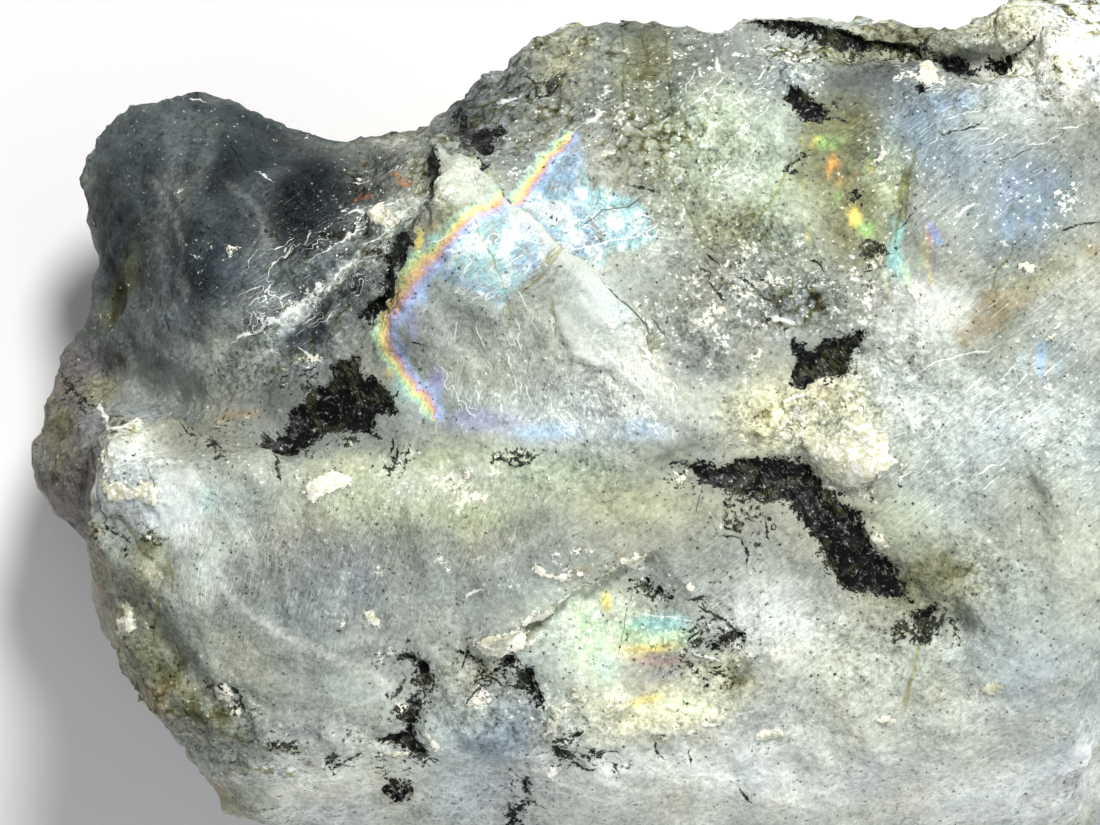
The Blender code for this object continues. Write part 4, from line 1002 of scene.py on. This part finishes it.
MOSS = (0.36, 0.36, 0.22)
DEEP_MOSS = (0.22, 0.21, 0.12)
TAN = (0.60, 0.54, 0.42)
cloud = rough(points, 4.0, 4, 101)
puff = rough(points, 1.3, 2, 103)
hue = rough(points, 7.0, 4, 105)
loose = wandering(points, places, 9.0, 3.0, 17)
flames = wandering(points, places, 2.6, 1.2, 23)

moss = strewn(MOSS_STAINS, 16.0, 4, 53, 1.3, 0.15, most=1.0) * (0.95 + 0.6 * puff)
wild_tan = np.clip(1.2 * rough(points, 12.0, 3, 61) - 0.16, 0.0, 0.8) * wild
tan = np.maximum(stained(loose, TAN_STAINS), wild_tan) * (0.8 + 0.5 * puff)
ground = tinted(points, places)
ground += (tinted_wild(points) - ground) * steep[:, None]
ground *= 1.0 + hue[:, None] * np.array([0.05, 0.01, -0.09])
ground = washed(ground, TAN, 0.7 * ramp(tan, 0.25, 0.75))
ground = washed(ground, MOSS, 0.85 * ramp(moss, 0.35, 0.95))
ground = washed(ground, DEEP_MOSS, 0.8 * ramp(moss, 0.95, 1.25))
streaks = np.clip(0.8 + 1.6 * rough(points * np.array([1.0, 0.28, 1.0]), 0.9, 2, 107), 0.1, 1.4)
streaks = 1.0 + (streaks - 1.0) * ramp(places[:, 0], 700.0, 760.0)  # only the far spots are streaked
# painted sheen: the spots of play of colour are washed into the ground colour
for *patch, light, strength in GLINTS:
    share = soft_patch(flames, patch) * strength * (1.0 - steep)
    ground = washed(ground, light, 0.9 * ramp(share * streaks, 0.08, 0.90))
keep("ground", [*ground.T, slant_fibre])

broad_wisps = 1.0 - 2.6 * np.abs(rough(points, 4.5, 4, 91))
fine_wisps = 1.0 - 3.2 * np.abs(rough(points, 2.2, 3, 97))
wisps = np.maximum(broad_wisps, fine_wisps)
wisps = np.clip(wisps, 0.0, 1.0) ** 2 * np.clip(0.5 + 1.2 * rough(points, 9.0, 2, 99), 0.0, 1.0)
milkiness = 0.88 + (0.07 + 0.11 * grit) * cloud + (0.06 + 0.10 * grit) * puff + (0.17 + 0.42 * grit) * wisps
keep("clouds", [cloud, puff, milkiness, steep_fibre])
keep("minerals", [dark, cream, sheets, grit])
keep("joints", [olive_aside, white_and_lit_aside, hair_and_shadow_aside, ore_aside])
keep("joint_reach", [olive_reach, white_and_lit_reach, hair_and_shadow_reach, ore_reach])

cream_dust = strewn(CREAM_DUST, 10.0, 3, 67, 2.0, 0.4)
ore_dust = strewn(ORE_DUST, 9.0, 4, 71, 2.0, 0.5, most=1.0)
# painted highlight: how much painted sparkle there is, kept with the dust
painted_sparkle = np.clip(0.12 + stained(loose, PAINTED_SPARKLE) * (1.0 - steep) + 0.3 * wild, 0.0, 1.0)
rust = strewn(RUST_STAINS, 6.0, 3, 59, 2.5, 1.6)
keep("dust", [cream_dust, ore_dust, painted_sparkle, rust])

healed = np.zeros(len(points))
for half_width, strength, line in HEALED_JOINTS:
    apart = np.abs(from_line(near, line))
    healed = np.maximum(healed, strength * ramp(apart / half_width, 1.5, 0.0) * (1.0 - steep))
FIRE_WIDTH = 0.85  # from the middle of the line to where it fades, in millimetres
BROAD_FIRE = (406, 288, 34, 26, 50)
off_line = np.full(len(points), np.inf)
for line in FIRE_LINES:
    apart = from_line(flames, line) / SHEET_UNITS
    off_line = np.where(np.abs(apart) < np.abs(off_line), apart, off_line)
across = off_line / (FIRE_WIDTH * (1.0 + 0.7 * soft_patch(places, BROAD_FIRE)))
blue = np.max([ramp(inside(flames, sheet), -6.0, 10.0) for sheet in BLUE_SHEEN_SHEETS], axis=0) * (1.0 - steep)
keep("fire", [across, ramp(np.abs(across), 2.6, 1.8) * (1.0 - steep), blue, healed])

# ------------------------------------------------------------------ the finish of the stone
# Cloudy feldspar, half clear, with hair-thin fibres along its cleavages, painted glints on its flakes,
# chips and fibres, painted shade in the crevices between its flakes, pinprick ore and crushed white
# edges. One finish holds them all, in millimetres of the stone's own space.

stone = bpy.data.materials.new("labradorite_feldspar")
stone.use_nodes = True
web = stone.node_tree
shader = web.nodes["Principled BSDF"]


def put(kind, feeds, out=0, **settings):
    """One new shader node, fed by socket or by plain value, and the socket that it gives."""
    made = web.nodes.new("ShaderNode" + kind)
    for name, value in settings.items():
        setattr(made, name, value)
    for key, value in feeds.items():
        if isinstance(value, bpy.types.NodeSocket):
            web.links.new(value, made.inputs[key])
        else:
            made.inputs[key].default_value = value
    return made.outputs[out]


def maths(operation, first, second=0.0, third=0.0):
    return put("Math", {0: first, 1: second, 2: third}, operation=operation)


def times(first, second):
    return maths("MULTIPLY", first, second)


def scaled(value, factor, offset):
    return maths("MULTIPLY_ADD", value, factor, offset)


def larger(first, second):
    return maths("MAXIMUM", first, second)


def shaded(tone, pattern, strength, middle=0.5):
    """The tone, lighter or darker where the pattern lies above or below its middle."""
    return scaled(maths("SUBTRACT", pattern, middle), strength, tone)


def easy(value, low, high, least=0.0, most=1.0):
    """Least at low, most at high, with an easy curve between."""
    feeds = {"Value": value, "From Min": low, "From Max": high, "To Min": least, "To Max": most}
    return put("MapRange", feeds, interpolation_type="SMOOTHSTEP")


def mixed(under, over, share, how="MIX"):
    under, over = [(*linear(c), 1.0) if isinstance(c, tuple) else c for c in (under, over)]
    return put("Mix", {0: share, 6: under, 7: over}, out=2, data_type="RGBA", blend_type=how)


def kept(name):
    """The four values that the mesh keeps under that name."""
    values = web.nodes.new("ShaderNodeAttribute")
    values.attribute_name = name
    split = web.nodes.new("ShaderNodeSeparateXYZ")
    web.links.new(values.outputs["Vector"], split.inputs[0])
    return [*split.outputs, values.outputs["Alpha"]]


def noise(place, size, detail=2.0, roughness=0.55, distortion=0.0):
    feeds = {"Vector": place, "Scale": 1.0 / size, "Detail": detail, "Roughness": roughness}
    feeds["Distortion"] = distortion
    return put("TexNoise", feeds)


def along(turn, length, width, thick=None):
    """The stone's space, turned by some degrees and stretched, so that noise in it runs in fibres."""
    feeds = {"Vector": bent, "Rotation": (0.0, 0.0, math.radians(turn)),
             "Scale": (length, width, thick or width)}
    return put("Mapping", feeds, vector_type="TEXTURE")


def cells(place, size, out, feature="F1", loose=1.0):
    feeds = {"Vector": place, "Scale": 1.0 / size, "Randomness": loose}
    return put("TexVoronoi", feeds, out=out, feature=feature)


def own_number(colour):
    """A random number from 0 to 1 that a cell has to itself."""
    return put("SeparateColor", {0: colour})


metres = put("TexCoord", {}, out=3)
millimetres = put("VectorMath", {0: metres, 1: (1000.0, 1000.0, 1000.0)}, operation="MULTIPLY")
ground = put("Attribute", {}, attribute_name="ground")
slant_here = ground.node.outputs["Alpha"]
cloud, puff, milkiness, steep_here = kept("clouds")  # the first two from about -1 to 1
dark_here, cream_here, sheet_here, grit_here = kept("minerals")
olive_here, white_and_lit_here, hair_and_shadow_here, ore_here = kept("joints")
olive_reach, white_and_lit_reach, hair_and_shadow_reach, ore_reach = kept("joint_reach")
cream_dust, ore_dust, painted_sparkle, rust = kept("dust")
fire_x, fire_reach, blue_sheen_here, healed = kept("fire")

bend = put("CombineXYZ", {0: times(cloud, 0.45), 1: times(puff, 0.12)})
bent = put("VectorMath", {0: millimetres, 1: bend}, operation="ADD")
grain = put("TexNoise", {"Vector": bent, "Scale": 1.0 / 0.50, "Detail": 3.0, "Roughness": 0.70})
steep_threads = noise(along(76.0, 2.6, 0.14), 1.0, 2.0, 0.6)
lean_threads = noise(along(124.0, 2.2, 0.14), 1.0, 2.0, 0.6)
slant_threads = noise(along(38.0, 5.0, 0.16), 1.0, 2.0, 0.6)
jolt = put("VectorMath", {0: grain.node.outputs["Color"], "Scale": 0.55}, operation="SCALE")
jolted = put("VectorMath", {0: millimetres, 1: jolt}, operation="ADD")
flakes = cells(jolted, 0.95, 1)
chips = cells(jolted, 0.30, 1)
flake_tone = own_number(flakes)
chip_tone = own_number(chips)
speck = put("SeparateColor", {0: grain.node.outputs["Color"]}, out=2)

RUST = (0.66, 0.47, 0.31)
SKY_SHEEN = (0.54, 0.71, 0.84)
CYAN_SHEEN = (0.60, 0.81, 0.84)
SNOW = (0.97, 0.98, 0.96)
JET = (0.045, 0.05, 0.045)
JOINT_OLIVE = (0.80, 0.77, 0.58)
JOINT_DARK_AND_SHADOW = (0.44, 0.46, 0.46)
CRUST = (0.92, 0.91, 0.84)
CRUST_SHADE = (0.78, 0.78, 0.66)
ORE_BROWN = (0.31, 0.32, 0.21)
ORE_GREY = (0.33, 0.35, 0.34)

# painted sheen: the play of colour lies in the feldspar, so the clouds and fibres go over it
frayed = maths("ADD", fire_x, scaled(grain, 1.4, -0.7))
rainbow = put("ValToRGB", {0: easy(frayed, -1.3, 1.7)})
bands = rainbow.node.color_ramp
bands.interpolation = "B_SPLINE"
FIRE_BANDS = [
    # place from the outer side of the line, 0 to 1, and the light there
    (0.06, (0.66, 0.82, 0.76)), (0.20, (0.80, 0.92, 0.66)), (0.34, (1.0, 0.93, 0.56)),
    (0.46, (0.98, 0.78, 0.52)),
    (0.58, (0.90, 0.70, 0.66)), (0.72, (0.74, 0.68, 0.86)), (0.88, (0.68, 0.80, 0.96)),
]
while len(bands.elements) < len(FIRE_BANDS):
    bands.elements.new(0.5)
for element, (at, light) in zip(bands.elements, FIRE_BANDS):
    element.position = at
    element.color = (*linear(light), 1.0)
fire_share = times(times(easy(frayed, -1.35, -0.6), easy(frayed, 1.8, 0.9)), fire_reach)
blue_sheen_edge = scaled(steep_threads, 1.3, scaled(puff, 0.35, -0.3))
blue_sheen_edge = times(blue_sheen_here, scaled(grain, 0.9, blue_sheen_edge))
sheen_light = mixed(SKY_SHEEN, CYAN_SHEEN, easy(cloud, -0.3, 0.3))
sheen_light = mixed(sheen_light, SNOW, easy(puff, -0.1, 0.5, 0.0, 0.6))
colour = mixed(ground, sheen_light, easy(blue_sheen_edge, 0.25, 0.95, 0.0, 0.75))
fire_share = times(fire_share, easy(steep_threads, 0.30, 0.52, 0.50, 0.78))
colour = mixed(colour, rainbow, fire_share)
# then fibres and flakes as shares lighter or darker than the feldspar
tone = shaded(milkiness, grain, easy(grit_here, 0.0, 1.0, 1.1, 2.2))
tone = shaded(tone, steep_threads, times(steep_here, 1.5))
tone = shaded(tone, lean_threads, times(steep_here, 0.8))
tone = shaded(tone, slant_threads, scaled(slant_here, 1.2, 0.15))
crumbly = easy(scaled(cloud, 0.4, grit_here), 0.66, 1.16)
flake_share = scaled(crumbly, 0.45, times(grit_here, 0.34))
tone = shaded(tone, flake_tone, flake_share, middle=0.45)
tone = shaded(tone, chip_tone, scaled(grit_here, 0.40, 0.14))
# painted shade: the crevices between the crumbly flakes are darkened, and tinted olive
crevice_shade = times(crumbly, easy(flakes.node.outputs["Distance"], 0.42, 0.78))
tone = scaled(crevice_shade, -0.50, tone)
tone = larger(tone, 0.12)
colour = mixed(colour, JOINT_OLIVE, crevice_shade, "MULTIPLY")
colour = put("VectorMath", {0: colour, "Scale": tone}, operation="SCALE")

# painted highlight: white glints on chips, flakes and fibres; then clear dark flakes and pinprick ore
sparse = scaled(painted_sparkle, 0.12, chip_tone)
chip_core = easy(chips.node.outputs["Distance"], 0.46, 0.28)
painted_glint_chips = times(times(easy(sparse, 0.975, 1.0), chip_core), easy(grain, 0.42, 0.54))
colour = mixed(colour, SNOW, times(painted_glint_chips, easy(painted_sparkle, 0.08, 0.6, 0.2, 1.0)))
painted_glint_flakes = easy(scaled(painted_sparkle, 0.2, flake_tone), 1.06, 1.10)
colour = mixed(colour, SNOW, times(times(painted_glint_flakes, easy(grain, 0.50, 0.60)), 0.75))
# painted highlight: the brightest of the fibres are whitened as glints along the cleavages
painted_glint_steep = times(steep_here, easy(larger(steep_threads, lean_threads), 0.66, 0.76))
painted_glint_threads = larger(painted_glint_steep, times(slant_here, easy(slant_threads, 0.61, 0.73)))
colour = mixed(colour, SNOW, times(painted_glint_threads, 0.5))
dark_chips = times(easy(chip_tone, 0.05, 0.03), chip_core)
colour = mixed(colour, INK, times(dark_chips, 0.75))
colour = mixed(colour, JET, easy(speck, 0.27, 0.22, 0.0, 0.8))


# joints
def line_share(aside, reach, most, fray=1.0):
    """How much of a fine line there is, with frayed edges."""
    spread = maths("ADD", maths("ABSOLUTE", aside), scaled(grain, -2.0 * fray, fray))
    return times(easy(spread, 1.05, 0.45, 0.0, most), reach)


# partly painted highlight: the raised sheets are paler; the one along the plate's edge is lit as it faces the
# key lamp
colour = mixed(colour, PALE, easy(sheet_here, -0.05, 0.10, 0.0, 0.5))
colour = mixed(colour, MILK, times(healed, easy(grain, 0.30, 0.60, 0.15, 0.42)))
colour = mixed(colour, JOINT_OLIVE, line_share(olive_here, olive_reach, 0.75, 1.6), "MULTIPLY")
# white joints and splinters, and painted highlight on the ledge at the foot of the lobe
colour = mixed(colour, SNOW, line_share(white_and_lit_here, white_and_lit_reach, 0.65))
# dark open hairlines, and painted shadow along the step at the plate's edge
colour = mixed(colour, JOINT_DARK_AND_SHADOW, line_share(hair_and_shadow_here, hair_and_shadow_reach, 0.85, 1.4), "MULTIPLY")
rust_edge = times(rust, maths("ADD", grain, speck))
colour = mixed(colour, RUST, easy(rust_edge, 0.86, 1.14, 0.0, 0.8))

# the raised sheets, the cream crust and the ore
crumbled_rim = scaled(grain, 1.3, -0.65)
ragged_edge = maths("ADD", crumbled_rim, scaled(chip_tone, 0.16, -0.08))
clump = scaled(puff, 0.22, grain)
crust_share = easy(maths("ADD", cream_here, ragged_edge), -0.03, 0.09)
cream_share = larger(crust_share, easy(scaled(cream_dust, 0.28, clump), 0.79, 0.86, 0.0, 0.85))
cream_colour = mixed(CRUST, CRUST_SHADE, easy(scaled(puff, 0.25, grain), 0.62, 0.38))
cream_colour = mixed(cream_colour, SNOW, easy(chip_tone, 0.60, 0.85, 0.0, 0.7))
colour = mixed(colour, cream_colour, times(cream_share, 0.92))
ore_grain = shaded(scaled(puff, -0.2, grain), chip_tone, 0.12)
frayed_rim = scaled(grain, 2.6, -1.3)
ore_patch = easy(maths("ADD", dark_here, frayed_rim), -0.04, 0.10)
dark_share = larger(ore_patch, easy(scaled(ore_dust, -0.30, ore_grain), 0.20, 0.15, 0.0, 0.95))
dark_share = larger(dark_share, line_share(ore_here, ore_reach, 0.95, 3.0))
# painted highlight: grey and silver flecks stand in for the sparkle of the ore's broken faces
ore_glint_fleck = shaded(speck, lean_threads, 0.4)
ore = mixed(JET, ORE_BROWN, times(easy(puff, 0.1, 0.5, 0.0, 0.7), easy(lean_threads, 0.44, 0.60)))
ore = mixed(ore, ORE_GREY, easy(ore_glint_fleck, 0.54, 0.66, 0.0, 0.9))
ore = mixed(ore, SILVER, easy(ore_glint_fleck, 0.66, 0.72, 0.0, 0.8))
colour = mixed(colour, ore, dark_share)

web.links.new(colour, shader.inputs["Base Color"])

roughness = scaled(grain, 0.30, 0.30)
roughness = put("Mix", {0: cream_share, 2: roughness, 3: 0.75})
roughness = put("Mix", {0: dark_share, 2: roughness, 3: 0.32})
roughness = put("Mix", {0: painted_glint_chips, 2: roughness, 3: 0.22})
web.links.new(roughness, shader.inputs["Roughness"])
shader.inputs["IOR"].default_value = 1.56
shader.inputs["Specular IOR Level"].default_value = 0.08

relief = times(grain, easy(grit_here, 0.0, 1.0, 0.09, 0.26))
relief = scaled(ore_patch, -0.10, relief)
crust_patch = easy(maths("ADD", cream_here, crumbled_rim), -0.03, 0.09)
relief = scaled(crust_patch, 0.10, relief)
bump = put("Bump", {"Strength": 1.0, "Distance": MM, "Height": relief})
lean = put("VectorMath", {0: chips, 1: (0.5, 0.5, 0.5)}, operation="SUBTRACT")
lean = put("VectorMath", {0: lean, "Scale": scaled(grit_here, 0.5, 0.10)}, operation="SCALE")
facets = put("VectorMath", {0: bump, 1: lean}, operation="ADD")
web.links.new(put("VectorMath", {0: facets}, operation="NORMALIZE"), shader.inputs["Normal"])

body.materials.clear()
body.materials.append(stone)
chunk = bpy.data.objects.new("labradorite_chunk_surface", body)
bpy.context.scene.collection.objects.link(chunk)
for polygon in body.polygons:
    polygon.use_smooth = True
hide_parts("labradorite_chunk")
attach(chunk, "root")

# ------------------------------------------------------------------ floor, light and camera
# A plain pale floor under an even studio light, with a key lamp beyond the stone and a weaker,
# softer fill lamp on the near side of it.

FLOOR_HALF = 2.0  # metres from the middle of the floor to its edge
STONE_MIDDLE = Vector((0.0, 0.0, 0.03))

floor_mesh = bmesh.new()
bmesh.ops.create_grid(floor_mesh, x_segments=1, y_segments=1, size=FLOOR_HALF)
floor_data = bpy.data.meshes.new("floor")
floor_mesh.to_mesh(floor_data)
floor_mesh.free()
floor = bpy.data.objects.new("floor", floor_data)
bpy.context.scene.collection.objects.link(floor)
pale = bpy.data.materials.new("pale_floor")
pale.use_nodes = True
pale.node_tree.nodes["Principled BSDF"].inputs["Base Color"].default_value = (0.82, 0.81, 0.82, 1.0)
pale.node_tree.nodes["Principled BSDF"].inputs["Roughness"].default_value = 0.8
floor_data.materials.append(pale)


def lamp(name, place, size, power, colour):
    """A round lamp that shines on the middle of the stone."""
    light = bpy.data.lights.new(name, "AREA")
    light.shape = "DISK"
    light.size = size
    light.energy = power
    light.color = colour
    holder = bpy.data.objects.new(name, light)
    holder.location = place
    holder.rotation_euler = (STONE_MIDDLE - Vector(place)).to_track_quat("-Z", "Y").to_euler()
    bpy.context.scene.collection.objects.link(holder)


lamp("key_lamp", (0.12, 0.42, 0.53), 0.18, 5.6, (1.0, 0.99, 0.97))
lamp("fill_lamp", (0.26, -0.52, 0.33), 0.50, 2.1, (0.96, 0.98, 1.0))
world = bpy.data.worlds.new("studio")
world.use_nodes = True
world.node_tree.nodes["Background"].inputs["Color"].default_value = (0.93, 0.94, 0.97, 1.0)
world.node_tree.nodes["Background"].inputs["Strength"].default_value = 0.30
bpy.context.scene.world = world
bpy.context.scene.view_settings.view_transform = "Standard"

LENS = 151.2  # this and the sensor's width are in millimetres
SENSOR = 36.0
lens = bpy.data.cameras.new("camera")
lens.lens = LENS
lens.sensor_width = SENSOR
camera = bpy.data.objects.new("camera", lens)
camera.location = EYE * MM
bpy.context.scene.collection.objects.link(camera)
bpy.context.scene.camera = camera
